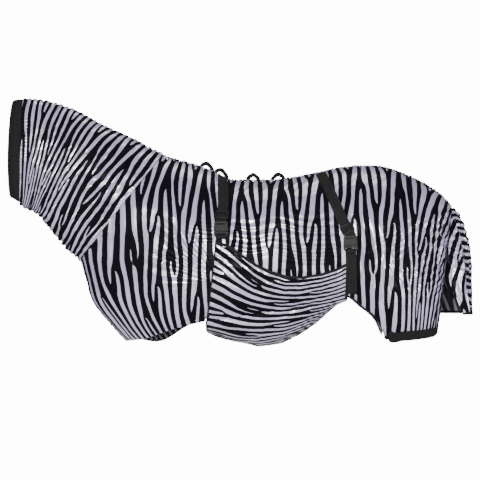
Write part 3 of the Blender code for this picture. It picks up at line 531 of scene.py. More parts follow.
def dense(points, step_length=0.004):
    """The path again on a smooth curve, with points about a step apart."""
    points = np.asarray(points, float)
    count = max(int(length_of(points) / step_length), 8)
    fine = smooth(points, np.linspace(0, len(points) - 1, count * 4))
    run = runs(fine)
    at = np.linspace(0, run[-1], count)
    return np.stack([np.interp(at, run, fine[:, k]) for k in range(fine.shape[1])], axis=1)


def webbing(name, path, normals, body, nodes, width=WEBBING, thick=WEBBING_THICK):
    """Flat webbing swept along its path, a strip of that width and thickness."""
    both = dense(np.hstack([path, normals]))
    path, normal = both[:, :3], unit(both[:, 3:])
    forward = unit(np.gradient(path, axis=0))
    across = unit(np.cross(forward, normal))
    normal = unit(np.cross(across, forward))
    piece = sweep(name, path, across, normal, tape_profile(width, thick, 13), WOVEN)
    finish(piece, body, "webbing", *nodes)
    return SimpleNamespace(piece=piece, path=path, across=across, normal=normal, width=width, thick=thick)


# ---------------------------------------------------------------- shaders


class Value:
    """A shader socket in a Python expression; each operator adds a Math node."""

    def __init__(self, paint, socket):
        self.paint, self.socket = paint, socket

    def __add__(self, other):
        return self.paint.math("ADD", self, other)

    def __sub__(self, other):
        return self.paint.math("SUBTRACT", self, other)

    def __mul__(self, other):
        return self.paint.math("MULTIPLY", self, other)

    def __rtruediv__(self, other):
        return self.paint.math("DIVIDE", other, self)

    __radd__, __rmul__ = __add__, __mul__


class Paint:
    """A node material; its Principled shader takes constants directly and what varies by link."""

    def __init__(self, name, **constants):
        self.material = bpy.data.materials.new(name)
        self.material.use_nodes = True
        self.tree = self.material.node_tree
        self.shader = self.tree.nodes["Principled BSDF"]
        for key, value in constants.items():
            self.shader.inputs[key.replace("_", " ")].default_value = value

    def node(self, kind, settings=None, **inputs):
        made = self.tree.nodes.new(kind)
        for key, value in (settings or {}).items():
            setattr(made, key, value)
        for key, value in inputs.items():
            self.feed(made.inputs[int(key[1:]) if key[1:].isdigit() else key.replace("_", " ")], value)
        return made

    def feed(self, socket, value):
        if isinstance(value, Value):
            value = value.socket
        if isinstance(value, bpy.types.NodeSocket):
            self.tree.links.new(value, socket)
        else:
            socket.default_value = value

    def math(self, operation, *values):
        settings = {"operation": operation}
        made = self.node("ShaderNodeMath", settings, **{"i%d" % i: v for i, v in enumerate(values)})
        return Value(self, made.outputs[0])

    def lay(self):
        """The cloth's own coordinates in metres: across and along the print, or along and across a tape."""
        mapped = self.node("ShaderNodeUVMap", {"uv_map": "lay"})
        found = self.node("ShaderNodeSeparateXYZ", None, Vector=mapped.outputs[0])
        return Value(self, found.outputs[0]), Value(self, found.outputs[1])

    def noise(self, x, y, seed, detail=0.0, roughness=0.5):
        """Unevenness between about -1 and 1; x and y are in cells."""
        where = self.node("ShaderNodeCombineXYZ", None, X=x, Y=y, Z=seed * 7.31)
        made = self.node("ShaderNodeTexNoise", {"noise_dimensions": "3D"}, Vector=where.outputs[0], Scale=1.0,
                         Detail=detail, Roughness=roughness, Lacunarity=2.6)
        return (Value(self, made.outputs["Fac"]) - 0.5) * 2.6

    def solid_noise(self, scale, detail=2.0):
        where = self.node("ShaderNodeTexCoord").outputs["Object"]
        made = self.node("ShaderNodeTexNoise", None, Vector=where, Scale=scale, Detail=detail)
        return (Value(self, made.outputs["Fac"]) - 0.5) * 2.0

    def between(self, mask, dark, light):
        """Colour from dark at 0 to light at 1."""
        made = self.node("ShaderNodeMix", {"data_type": "RGBA"}, i0=mask, i6=dark, i7=light)
        return made.outputs[2]

    def wave(self, value, pitch):
        return self.math("SINE", value * (2 * math.pi / pitch))

    def ramp(self, value, low, high):
        made = self.node("ShaderNodeMapRange", {"interpolation_type": "SMOOTHSTEP"}, Value=value,
                         **{"From_Min": low, "From_Max": high})
        return Value(self, made.outputs[0])

    def colour(self, socket):
        self.feed(self.shader.inputs["Base Color"], socket)

    def rough(self, value):
        self.feed(self.shader.inputs["Roughness"], value)

    def bump(self, height, distance):
        made = self.node("ShaderNodeBump", None, Strength=1.0, Distance=distance, Height=height)
        self.feed(self.shader.inputs["Normal"], made.outputs[0])


REPEAT = 0.178
STRIPE = 0.0356
FORKS = (
    (0.020, 0.100, 1, 0.3),
    (0.085, 0.235, -1, 0.95),
    (0.150, 0.315, 1, 0.2),
    (0.045, 0.395, -1, 0.2),
    (0.010, 0.470, 1, 0.2),
    (0.115, 0.550, -1, 0.9),
    (0.128, 0.625, 1, 0.7),
    (0.050, 0.705, -1, 0.3),
    (0.020, 0.790, 1, 0.6),
    (0.140, 0.870, -1, 0.4),
)


def zebra(paint, across, along):
    """1 on the light ground and 0 on a black stripe, with forks where stripes join."""
    wander = paint.noise(across * 7, along * 3.4, 1, 2.0, 0.45) * 0.0095
    place_ = across + wander
    phase = place_ * (2 * math.pi / STRIPE)
    blot = None
    for first, level, way, weight in FORKS:
        a = (place_ - first) * (math.pi / REPEAT)
        b = (along - level) * (math.pi / REPEAT * 0.55)
        sine, cosine = paint.math("SINE", a), paint.math("COSINE", a)
        phase = phase + paint.math("ARCTAN2", cosine * paint.math("TANH", b), sine) * float(way)
        spot = weight / (sine * sine * 20.0 + b * b * 9.0 + 1.0)
        blot = spot if blot is None else blot + spot
    width = paint.noise(across * 11 + 3, along * 4.5, 5) * 0.45
    height = paint.math("COSINE", phase) + 0.07 + width - blot * 1.7
    return paint.ramp(height, -0.07, 0.07)


def printed(name, ground, ink, shine):
    paint = Paint(name, Specular_IOR_Level=0.03, Coat_Roughness=0.26, Coat_IOR=2.1)
    across, along = paint.lay()
    light = zebra(paint, across, along)
    tone = paint.noise(across * 5, along * 6, 9, 2.0) * 0.5 + 0.5
    pale = paint.between(tone, tuple(c * 0.93 for c in ground) + (1,), ground + (1,))
    paint.colour(paint.between(light, ink + (1,), pale))
    knit = paint.wave(across, 0.0016) * paint.wave(along, 0.0013)
    slub = paint.noise(across * 900, along * 160, 13, 1.0)
    paint.rough(0.62 + slub * 0.04)
    paint.feed(paint.shader.inputs["Coat Weight"], light * shine + 0.006)
    ripple = paint.noise(across * 22, along * 60, 21, 1.0) + paint.noise(across * 70, along * 150, 23) * 0.4
    paint.bump(ripple * 0.0009 + (knit + slub) * 0.00006, 1.0)
    return paint.material


def ribbed_elastic():
    paint = Paint("ribbed_elastic", Specular_IOR_Level=0.14)
    along, across = paint.lay()
    rib = paint.wave(across, 0.0032)
    yarn = paint.wave(along, 0.0011) * paint.wave(across, 0.0016)
    wear = paint.solid_noise(38.0) * 0.5 + 0.5
    paint.colour(paint.between(wear, (0.0032, 0.0030, 0.0036, 1), (0.0062, 0.0058, 0.0066, 1)))
    paint.rough(0.78 + paint.solid_noise(300.0) * 0.08)
    paint.bump(rib * 0.6 + yarn * 0.4, 0.0003)
    return paint.material


def woven_tape(name, dark, light, pitch, twill):
    """Woven tape: a herringbone of yarns that turns about the tape's middle line."""
    paint = Paint(name, Specular_IOR_Level=0.10)
    along, across = paint.lay()
    fold = paint.math("ABSOLUTE", paint.math("PINGPONG", across + 0.0001, twill))
    yarn = paint.wave(along + fold, pitch)
    pick = paint.wave(across, pitch * 0.62)
    weave = paint.ramp(yarn + pick * 0.6, -1.2, 1.2)
    paint.colour(paint.between(weave, dark, light))
    paint.rough(0.56 + paint.solid_noise(220.0) * 0.08)
    paint.bump(weave, 0.00035)
    return paint.material


def moulded_acetal():
    paint = Paint("moulded_acetal", Specular_IOR_Level=0.17)
    cloud = paint.solid_noise(60.0) * 0.5 + 0.5
    scuff = paint.ramp(paint.solid_noise(420.0, 5.0), 0.35, 0.75)
    paint.colour(paint.between(cloud, (0.0034, 0.0034, 0.0038, 1), (0.0085, 0.0085, 0.0090, 1)))
    paint.rough(0.44 + cloud * 0.08 + scuff * 0.14)
    paint.bump(paint.solid_noise(1400.0, 1.0), 0.00004)
    return paint.material


def thread():
    paint = Paint("sewing_thread", Specular_IOR_Level=0.2)
    twist = paint.math("SINE", paint.solid_noise(900.0) * 6.0)
    paint.colour(paint.between(twist * 0.5 + 0.5, (0.010, 0.010, 0.011, 1), (0.030, 0.029, 0.031, 1)))
    paint.rough(0.55 + paint.solid_noise(500.0) * 0.1)
    return paint.material


GROUND, INK = (0.262, 0.230, 0.352), (0.0016, 0.0013, 0.0028)
PRINT = printed("zebra_satin", GROUND, INK, 0.95)
LINING = printed("print_reverse", (0.16, 0.145, 0.18), (0.020, 0.017, 0.023), 0.05)
ELASTIC = ribbed_elastic()
WOVEN = woven_tape("woven_webbing", (0.0020, 0.0019, 0.0020, 1), (0.0090, 0.0086, 0.0086, 1), 0.0024, 0.012)
TAPE = woven_tape("binding_tape", (0.0035, 0.0034, 0.0040, 1), (0.0110, 0.0105, 0.0120, 1), 0.0014, 0.004)
ACETAL = moulded_acetal()
THREAD = thread()

for node_name in ("crest_elastic", "back_elastic"):
    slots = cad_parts[node_name].data.materials
    slots.clear()
    slots.append(ELASTIC)


# ---------------------------------------------------------------- node trees for stitches and ribs


def new_tree(name, inputs):
    tree = bpy.data.node_groups.new(name, "GeometryNodeTree")
    tree.interface.new_socket("Geometry", in_out="INPUT", socket_type="NodeSocketGeometry")
    tree.interface.new_socket("Geometry", in_out="OUTPUT", socket_type="NodeSocketGeometry")
    for label, kind, value in inputs:
        made = tree.interface.new_socket(label, in_out="INPUT", socket_type=kind)
        if value is not None:
            made.default_value = value
    entry, exit_ = tree.nodes.new("NodeGroupInput"), tree.nodes.new("NodeGroupOutput")
    return tree, entry, exit_


def chain(tree, kind, settings=None, **inputs):
    made = tree.nodes.new(kind)
    for key, value in (settings or {}).items():
        setattr(made, key, value)
    for key, value in inputs.items():
        socket = made.inputs[key.replace("_", " ")]
        if isinstance(value, bpy.types.NodeSocket):
            tree.links.new(value, socket)
        else:
            socket.default_value = value
    return made


def close_tree(tree, exit_, shape, material):
    """Ends a tree: real geometry, smooth shading and one material."""
    real = chain(tree, "GeometryNodeRealizeInstances", None, Geometry=shape)
    soft = chain(tree, "GeometryNodeSetShadeSmooth", None, Geometry=real.outputs[0])
    dyed = chain(tree, "GeometryNodeSetMaterial", None, Geometry=soft.outputs[0], Material=material)
    tree.links.new(dyed.outputs[0], exit_.inputs[0])
    return tree


def stitch_tree():
    """Thread stitches laid end to end along curves."""
    inputs = (("Pitch", "NodeSocketFloat", 0.004), ("Size", "NodeSocketVector", (0.0013, 0.0004, 0.0004)),
              ("Thread", "NodeSocketMaterial", None))
    tree, entry, exit_ = new_tree("stitch_rows", inputs)
    spaced = chain(tree, "GeometryNodeResampleCurve", {"mode": "LENGTH"}, Curve=entry.outputs["Geometry"],
                   Length=entry.outputs["Pitch"])
    bead = chain(tree, "GeometryNodeMeshIcoSphere", None, Radius=1.0, Subdivisions=1)
    tangent = chain(tree, "GeometryNodeInputTangent")
    turned = chain(tree, "FunctionNodeAlignRotationToVector", {"axis": "X"}, Vector=tangent.outputs[0])
    laid = chain(tree, "GeometryNodeInstanceOnPoints", None, Points=spaced.outputs[0],
                 Instance=bead.outputs["Mesh"], Rotation=turned.outputs[0], Scale=entry.outputs["Size"])
    return close_tree(tree, exit_, laid.outputs[0], entry.outputs["Thread"])


def rib_tree():
    """Raised ribs of elastic: a fine round cord along each curve."""
    inputs = (("Spacing", "NodeSocketFloat", 0.005), ("Radius", "NodeSocketFloat", 0.0007),
              ("Elastic", "NodeSocketMaterial", None))
    tree, entry, exit_ = new_tree("elastic_ribs", inputs)
    spaced = chain(tree, "GeometryNodeResampleCurve", {"mode": "LENGTH"}, Curve=entry.outputs["Geometry"],
                   Length=entry.outputs["Spacing"])
    ring = chain(tree, "GeometryNodeCurvePrimitiveCircle", None, Resolution=6, Radius=entry.outputs["Radius"])
    tube = chain(tree, "GeometryNodeCurveToMesh", None, Curve=spaced.outputs[0],
                 Profile_Curve=ring.outputs[0])
    return close_tree(tree, exit_, tube.outputs[0], entry.outputs["Elastic"])


def along_curves(name, paths, tree, values, body, slot, cyclic=False):
    """Runs a node tree on a set of paths and keeps the result as a plain mesh on one body."""
    data = bpy.data.curves.new(name + "_lines", "CURVE")
    data.dimensions = "3D"
    for path in paths:
        spline = data.splines.new("POLY")
        spline.points.add(len(path) - 1)
        spline.points.foreach_set("co", np.hstack([path, np.ones((len(path), 1))]).astype(np.float32).ravel())
        spline.use_cyclic_u = cyclic
    lines = bpy.data.objects.new(name + "_lines", data)
    bpy.context.scene.collection.objects.link(lines)
    made = lines.modifiers.new("rows", "NODES")
    made.node_group = tree
    names = {item.name: item.identifier for item in tree.interface.items_tree if item.in_out == "INPUT"}
    for key, value in values.items():
        made[names[key]] = value
    graph = bpy.context.evaluated_depsgraph_get()
    mesh = bpy.data.meshes.new_from_object(lines.evaluated_get(graph), depsgraph=graph)
    bpy.data.objects.remove(lines)
    mesh.name = name
    piece = place(name, mesh)
    if not mesh.materials:
        mesh.materials.append(list(values.values())[-1])
    return finish(piece, body, slot)


STITCHES, RIBS = stitch_tree(), rib_tree()
RIB_VALUES = {"Spacing": RIB_SPACING, "Radius": RIB_RADIUS, "Elastic": ELASTIC}
ROWS = {"sheet": [], "wrap": [], "tail_flap": []}


def sew(body, path, normal, lift=0.0003):
    """Notes one row of stitches for a body."""
    ROWS[body].append(path + normal * lift)


def sew_cloth(body, lay, *lines):
    """Rows of stitches along lines of a cloth's grid."""
    for line in lines:
        sew(body, lay.shown[line], lay.normals[line])


# ---------------------------------------------------------------- camera and studio


CAMERA_DISTANCE, VIEW_WIDTH = 14, 2.208


def make_studio():
    lens = bpy.data.cameras.new("camera")
    lens.sensor_width = 36
    lens.lens = lens.sensor_width * CAMERA_DISTANCE / VIEW_WIDTH
    lens.clip_end = 200
    camera = bpy.data.objects.new("camera", lens)
    camera.location = (0, -CAMERA_DISTANCE, -0.2714)
    camera.rotation_euler = (math.pi / 2, 0, 0)
    bpy.context.scene.collection.objects.link(camera)
    bpy.context.scene.camera = camera
    for name, where, aim, size, power in (
        ("key", (-0.9, -7.0, 0.7), (0, 0, -0.3), 0.8, 700),
        ("low", (0.9, -5.5, -1.2), (0, 0, -0.4), 2.2, 130),
        ("head_end", (-5.5, -1.5, 0.9), (0, 0, -0.2), 1.6, 210),
        ("tail_end", (5.5, -1.8, 0.7), (0, 0, -0.2), 1.6, 230),
        ("above", (0.3, 0.4, 4.2), (0, 0, 0), 2.5, 110),
        ("far_key", (1.0, 7.0, 0.9), (0, 0, -0.3), 0.9, 700),
    ):
        light = bpy.data.lights.new(name, "AREA")
        light.size = size
        light.energy = power
        lamp = bpy.data.objects.new(name, light)
        lamp.location = where
        lamp.rotation_euler = (Vector(where) - Vector(aim)).to_track_quat("Z", "Y").to_euler()
        bpy.context.scene.collection.objects.link(lamp)
    world = bpy.data.worlds.new("studio")
    bpy.context.scene.world = world
    world.use_nodes = True
    nodes, links = world.node_tree.nodes, world.node_tree.links
    seen = nodes.new("ShaderNodeLightPath")
    level = nodes.new("ShaderNodeMapRange")
    level.inputs["To Min"].default_value = 0.22
    level.inputs["To Max"].default_value = 14.0
    links.new(seen.outputs["Is Camera Ray"], level.inputs["Value"])
    links.new(level.outputs[0], nodes["Background"].inputs["Strength"])
    nodes["Background"].inputs["Color"].default_value = (1, 1, 1, 1)
    floor = bpy.data.meshes.new("floor")
    turns = np.linspace(0, 2 * math.pi, 97)[:-1]
    rim = [(3.2 * math.cos(t), -1.2 + 2.65 * math.sin(t), -1.5) for t in turns]
    floor.from_pydata(rim, [], [list(range(96))])
    paint = Paint("studio_floor", Roughness=0.85)
    cloud = paint.solid_noise(3.0) * 0.5 + 0.5
    paint.colour(paint.between(cloud, (0.78, 0.78, 0.77, 1), (0.83, 0.83, 0.82, 1)))
    place("floor", floor, paint.material)


make_studio()


# ---------------------------------------------------------------- neck and body cloth


def lay_out(stations, side, inner, outer, rows, seed):
    """A side panel's smooth grid: stations along, from the spine side to the lower edge across."""
    length = sections(stations, side == FAR)[1][:, -1]
    share = np.linspace(0, 1, rows)
    start, end = inner(stations), outer(stations, length)
    arcs = start[:, None] + (end - start)[:, None] * share
    points = on_form(stations, arcs * side)
    run = travel(points)
    return SimpleNamespace(
        points=points, normals=normals_of(points) * side, stations=stations, share=share, side=side,
        seed=seed, run=run, from_spine=arcs, from_hem=end[:, None] - arcs, from_front=run - run[:1],
        from_rear=run[-1:] - run,
    )


def trim_width(s):
    trim = CHEST_HALF + (BINDING - CHEST_HALF) * step(s, 10, 10.4)
    return trim + (LEG_BAND - BINDING) * step(s, FLANK_END, LEG_BAND_START)


def band_end():
    places = np.linspace(0, NECK_SEAM, 241)
    tops = smooth(STATIONS, places)[:, :2]
    run = runs(tops)
    return float(np.interp(FACE_BAND, run, places))


def make_neck(word, side):
    stations = even_stations(band_end(), NECK_SEAM, 0.0048)
    lay = lay_out(stations, side, lambda s: 0 * s, lambda s, length: length, 130, 40 if side == NEAR else 140)
    lay.uv = neck_print(stations, lay.share, lay.from_spine)
    lay.throat_run = lay.run[:, -1:] + 0 * lay.run
    for start, end, depth in CREASES:
        _, beside = crease(lay.points[..., 0], lay.points[..., 2], start, end, 0.012)
        lay.uv[..., 0] += 0.9 * depth * beside
    name = "neck_cloth_" + word
    cloth(name, lay, neck_folds(lay), PRINT, "sheet", "print",
          nodes=["neck_" + word])
    sew_cloth("sheet", lay, np.s_[2:-2, 2], np.s_[2:-2, -3], np.s_[1, 2:-2], np.s_[-3, 2:-2])


def make_body(word, side):
    stations = even_stations(NECK_SEAM, TAIL_EDGE, 0.0056)
    lay = lay_out(stations, side, lambda s: STRIP_HALF + 0 * s, lambda s, length: length - trim_width(s), 146,
                  60 if side == NEAR else 160)
    lay.uv = body_print(lay.points, stations, lay.from_spine)
    name = "body_cloth_" + word
    cloth(name, lay, body_folds(lay), PRINT, "sheet", "print",
          nodes=["body_" + word])
    sew_cloth("sheet", lay, np.s_[2:-2, 2], np.s_[2, 2:-2], np.s_[-3, 2:-2], np.s_[2:-2, -3])


def make_chest():
    stations = even_stations(NECK_SEAM, CHEST_END, 0.005)
    length = sections(stations, False)[1][:, -1]
    offsets = np.linspace(CHEST_HALF, -CHEST_HALF, 20)
    arcs = (length[:, None] - abs(offsets)) * np.where(offsets >= 0, 1, -1)
    points = on_form(stations, arcs)
    run = travel(points)
    uv = np.stack([0.02 + abs(offsets) + 0 * run, run], axis=-1)
    lay = SimpleNamespace(points=points, normals=normals_of(points), uv=uv, side=FAR)
    edge = CHEST_HALF - abs(offsets)
    folds = 0.0016 * gathers(run, 0 * run, 0.030, 300) - 0.0022 * bell(edge, 0, 0.004)
    folds -= 0.0022 * np.exp(-(((run - run[:1]) / 0.0045) ** 2))
    cloth("chest_cloth", lay, folds, PRINT, "sheet", "print",
          nodes=["chest_panel"])
    sew_cloth("sheet", lay, np.s_[2:-2, 2], np.s_[2:-2, -3])


def make_back_strip():
    stations = even_stations(NECK_SEAM, TAIL_EDGE, 0.0042)
    arcs = np.linspace(-STRIP_HALF, STRIP_HALF, 29)[None] + 0 * stations[:, None]
    points = on_form(stations, arcs)
    run = travel(points)
    uv = np.stack([1.25 * run + 0.55 * arcs, 0.12 + abs(arcs) * 1.2], axis=-1)
    lay = SimpleNamespace(points=points, normals=normals_of(points), uv=uv, side=FAR)
    edge = STRIP_HALF - abs(arcs)
    folds = 0.0030 * gathers(run, arcs, 0.0150, 320, 0.8)
    folds = folds + 0.0016 * gathers(run + 0.3 * arcs, arcs, 0.034, 322)
    folds -= 0.0016 * (bell(arcs, -0.012, 0.003) + bell(arcs, 0.012, 0.003))
    folds = np.clip(folds, -0.0040, 0.0085) + 0.0012
    near_keeper = sum(bell(points[..., 0], x, 0.016) for x in KEEPERS)
    folds = folds * (1 - 0.7 * np.clip(near_keeper, 0, 1))
    folds -= 0.0032 * bell(edge, 0, 0.004)
    cloth("back_strip_cloth", lay, folds, PRINT, "sheet", "ruched",
          nodes=["back_strip"])
    sew_cloth("sheet", lay, *(np.s_[2:-2, j] for j in (1, 10, 18, -2)))


# ---------------------------------------------------------------- elastic bands, hems and bindings


def band_grid(start, end, width, side, rows):
    stations = even_stations(start, end, 0.005)
    length = sections(stations, side == FAR)[1][:, -1]
    arcs = length[:, None] - width * np.linspace(1, 0, rows)
    points = on_form(stations, arcs * side)
    normals = normals_of(points) * side
    return SimpleNamespace(points=points, normals=normals, stations=stations, arcs=arcs, side=side)


def make_face_band():
    stations = np.linspace(0, band_end(), 25)
    length = sections(stations, False)[1][:, -1]
    around = np.linspace(-1, 1, 261)[:-1]
    points = on_form(stations, length[:, None] * around)
    reach = 1 - np.linspace(0, 1, len(stations))[:, None]
    points[..., 0] -= 0.013 * reach * np.sin(math.pi * abs(around)) ** 0.8
    normals = normals_of(points, looped=True)
    run = length[:, None] * np.append(around, 1.0)
    across = np.linspace(0, FACE_BAND, len(stations))[:, None] + 0 * run
    rim = np.sin(np.linspace(0, math.pi, len(stations))) ** 0.25
    wobble = 0.0012 * noise(around * 9, 0 * around, 350)
    shown = points + normals * ((rim[:, None] - 0.6) * 0.0018 + wobble)[..., None]
    mesh = grid_mesh("face_band_elastic", shown, np.stack([run, across], axis=-1), looped=True)
    piece = place("face_band_elastic", mesh, ELASTIC)
    solidify(piece, 0.0022, lined=False)
    finish(piece, "sheet", "elastic", "face_band")
    rings = [shown[i] + normals[i] * 0.0001 for i in range(2, len(stations) - 1, 2)]
    along_curves("face_band_ribs", rings, RIBS, RIB_VALUES, "sheet", "elastic", cyclic=True)
    sew("sheet", shown[-2], normals[-2], 0.0004)


def make_leg_band(word, side):
    lay = band_grid(LEG_BAND_START + 0.02, TAIL_EDGE, LEG_BAND, side, rows=18)
    run = travel(lay.points)
    across = np.linspace(0, LEG_BAND, 18)[None] + 0 * run
    lay.uv = np.stack([run, across], axis=-1)
    rim = np.sin(np.linspace(0.05, math.pi - 0.05, 18)) ** 0.3
    wobble = 0.0016 * noise(run / 0.12, across / 0.2, 360 + side)
    folds = (rim[None] - 0.7) * 0.0016 + wobble + 0.0006
    shown = lay.points + lay.normals * folds[..., None]
    name = "leg_band_elastic_" + word
    piece = place(name, grid_mesh(name, shown, lay.uv, flipped=side == NEAR), ELASTIC)
    solidify(piece, 0.0022, lined=False)
    finish(piece, "sheet", "elastic", "leg_band_" + word)
    rows = [shown[:, j] + lay.normals[:, j] * 0.0001 for j in range(2, 17, 2)]
    along_curves("leg_band_ribs_" + word, rows, RIBS, RIB_VALUES, "sheet", "elastic")
    sew("sheet", shown[1:-1, 1], lay.normals[1:-1, 1], 0.0004)


def bind(name, path, across, normal, body, node, width=BINDING, thick=0.0040):
    """Folded binding tape over a cloth edge, with its stitching."""
    profile = tape_profile(width, thick, 7)
    piece = sweep(name, path, across, normal, profile, TAPE)
    finish(piece, body, "binding", node)
    sew(body, path + across * width * 0.28 + normal * thick * 0.5, normal, 0.0001)
    return piece


def edge_of(stations, width, side):
    """Middle line of a hem trim, with its directions."""
    length = sections(stations, side == FAR)[1][:, -1]
    arcs = length[:, None] - width * np.array([1.0, 0.5, 0.0])
    points = on_form(stations, arcs * side)
    normal = normals_of(points)[:, 1] * side
    across = unit(points[:, 0] - points[:, 2])
    return points[:, 1] + normal * -0.0015, across, normal


def make_hems(word, side):
    for start, end, stem in ((WRAP_FRONT, FLANK, "belly_hem"), (FLANK, FLANK_END, "flank_binding")):
        stations = even_stations(start + 0.02, end - 0.02, 0.006)
        path, across, normal = edge_of(stations, BINDING, side)
        bind(stem + "_tape_" + word, path, across, normal, "sheet", stem + "_" + word, thick=0.0032)
    lay = band_grid(HEM_START + 0.02, WRAP_FRONT - 0.02, BINDING + 0.007, side, rows=7)
    lay.uv = body_print(lay.points, lay.stations, lay.arcs)
    run = travel(lay.points)
    folds = 0.0012 + 0.0014 * gathers(lay.points[..., 0], 0 * run, 0.017, 370)
    folds = np.clip(folds, -0.001, 0.004)
    cloth("front_hem_cloth_" + word, lay, folds, PRINT, "sheet", "print",
          thick=0.0024, nodes=["front_hem_" + word])
    sew("sheet", lay.shown[1:-1, 1], lay.normals[1:-1, 1], 0.0004)


# ---------------------------------------------------------------- belly wrap


def wrap_points(v, u):
    """Points on the wrap's outer side; v runs front to rear, u from the far seam to the near edge."""
    ends = smooth(STATIONS, np.array([WRAP_FRONT, FLANK], float))
    front, rear = ends[0, 2:4], ends[1, 2:4]
    half = ends[0, 6]
    rise = np.clip((u - WRAP_UNDER) / (1 - WRAP_UNDER), 0, 1)
    x_front = front[0] + (WRAP_TOP[0, 0] - front[0]) * rise**0.8
    x_rear = rear[0] + (WRAP_TOP[-1, 0] - rear[0]) * rise
    x = x_front + (x_rear - x_front) * v
    hem_z = front[1] + (rear[1] - front[1]) * (x - front[0]) / (rear[0] - front[0])
    turn = math.pi * np.clip(u / WRAP_UNDER, 0, 1)
    near = -(half + WRAP_STAND)
    y = (half + near) / 2 + (half - near) / 2 * np.cos(turn)
    hang = np.interp(x, WRAP_SAG[:, 0], WRAP_SAG[:, 1]) * np.maximum(np.sin(turn), 0) ** 0.85
    under = np.stack([x, y, hem_z - 0.0015 * (1 - np.clip(u / WRAP_UNDER, 0, 1)) - hang], axis=-1)
    top_x = WRAP_TOP[0, 0] + (WRAP_TOP[-1, 0] - WRAP_TOP[0, 0]) * v
    top_z = np.interp(top_x, WRAP_TOP[:, 0], WRAP_TOP[:, 1])
    side, _ = near_point(x, hem_z + (top_z - hem_z) * rise, WRAP_STAND + 0 * x)
    return np.where((u <= WRAP_UNDER)[..., None], under, side)


def make_wrap():
    edge = BINDING / 0.652
    v = np.linspace(edge * 0.5, 1 - edge * 0.5, 128)
    u = np.linspace(0.0, WRAP_EDGE, 176)
    vv, uu = np.meshgrid(v, u, indexing="ij")
    points = wrap_points(vv, uu)
    down = travel(points, 1)
    depth = down[:, -1:] - down
    near_depth = depth[:, [int(len(u) * WRAP_UNDER / WRAP_EDGE)]]
    lay = SimpleNamespace(points=points, normals=normals_of(points), side=FAR)
    spread = 0.35 * depth + 0.65 * depth / near_depth * 0.335
    steeper = 0.27 * 0.05 * np.logaddexp(0, (0.17 - points[..., 0]) / 0.05)
    lay.uv = np.stack([spread + steeper + 0.005, points[..., 0] + 0.55], axis=-1)
    x = points[..., 0]
    rise = step(uu, 0.45, 0.62)
    front, rear = np.exp(-(vv - v[0]) * 0.65 / 0.035), np.exp(-(v[-1] - vv) * 0.6 / 0.03)
    folds = 0.0060 * noise(vv * 5, down / 0.13, 400) * (1 - 0.45 * rise)
    folds += 0.0055 * drapes(down - 0.10 * vv, x, 0.044, 402)
    folds += 0.0026 * gathers(x, down, 0.030, 412) * noise(x / 0.09, down / 0.07, 414)
    folds += 0.0034 * front * gathers(down, vv, 0.019, 404) + 0.0024 * rear * gathers(down, vv, 0.019, 406)
    folds += 0.0014 * np.exp(-depth / 0.03) * gathers(x, depth, 0.030, 408)
    folds = soften(folds + 0.0020, -0.0012, 0.0110)
    covered = (1 - step(abs(x - 0.503), 0.030, 0.045)) * rise
    folds = folds * (1 - covered)
    cloth("belly_wrap_cloth", lay, folds, PRINT, "wrap", "print",
          nodes=["belly_wrap"])
    sew_cloth("wrap", lay, np.s_[5, 2:-3], np.s_[-6, 2:-3])
    level = np.linspace(0.004, 0.998, 210)
    for name, node, line in (
        ("wrap_top_tape", "wrap_top_binding", [(f, 0.985) for f in np.linspace(0.008, 0.992, 150)]),
        ("wrap_front_tape", "wrap_front_binding", [(edge * 0.5, f) for f in level]),
        ("wrap_rear_tape", "wrap_rear_binding", [(1 - edge * 0.5, f) for f in level]),
    ):
        line = np.array(line)
        path = wrap_points(line[:, 0], line[:, 1])
        if name == "wrap_top_tape":
            inward = wrap_points(line[:, 0], line[:, 1] - 0.03) - path
        else:
            shift = 0.02 if name == "wrap_front_tape" else -0.02
            inward = wrap_points(line[:, 0] + shift, line[:, 1]) - path
        forward = unit(np.gradient(path, axis=0))
        across = unit(inward - forward * (inward * forward).sum(1, keepdims=True))
        normal = unit(np.cross(forward, across))
        if name == "wrap_top_tape":
            away = np.array([0, -1.0, 0])
        else:
            away = path - np.array([0.17, 0.0, -0.30])
            away[:, 0] = 0
        normal = normal * np.sign((normal * away).sum(1))[:, None]
        waver = 0.0016 * gathers(np.linspace(0, length_of(path), len(path)), 0, 0.024, 410)
        ruffle = np.clip(waver, -0.0005, 0.003)[:, None] * (name != "wrap_top_tape")
        path = path - normal * 0.0004 + normal * ruffle
        bind(name, path, across, normal, "wrap", node)


# ---------------------------------------------------------------- tail flap


def tail_points(level, side):
    row = smooth(TAIL_LEVELS, level * (len(TAIL_LEVELS) - 1))
    turn = side * math.pi / 2
    reach = np.where(side < 0, row[..., 3], row[..., 4])
    x = row[..., 0] - reach * (1 - np.cos(turn))
    return np.stack([x, row[..., 2] * np.sin(turn), row[..., 1]], axis=-1)


def tail_folds(level, side, down, seed):
    turn = side * 0.19
    folds = 0.0060 * drapes(turn + 0.02 * level, down, 0.034, seed) * step(level, 0.1, 0.5)
    folds += 0.0040 * (1 - step(level, 0.25, 0.75)) * gathers(turn, down, 0.024, seed + 2)
    folds += 0.0038 * (1 - step(level, 0.35, 0.85)) * gathers(down + 0.3 * abs(turn), turn, 0.040, seed + 4)
    folds += 0.0040 * noise(turn / 0.06, down / 0.08, seed + 6)
    return np.clip(folds * step(level, -0.02, 0.12), -0.006, 0.0105)


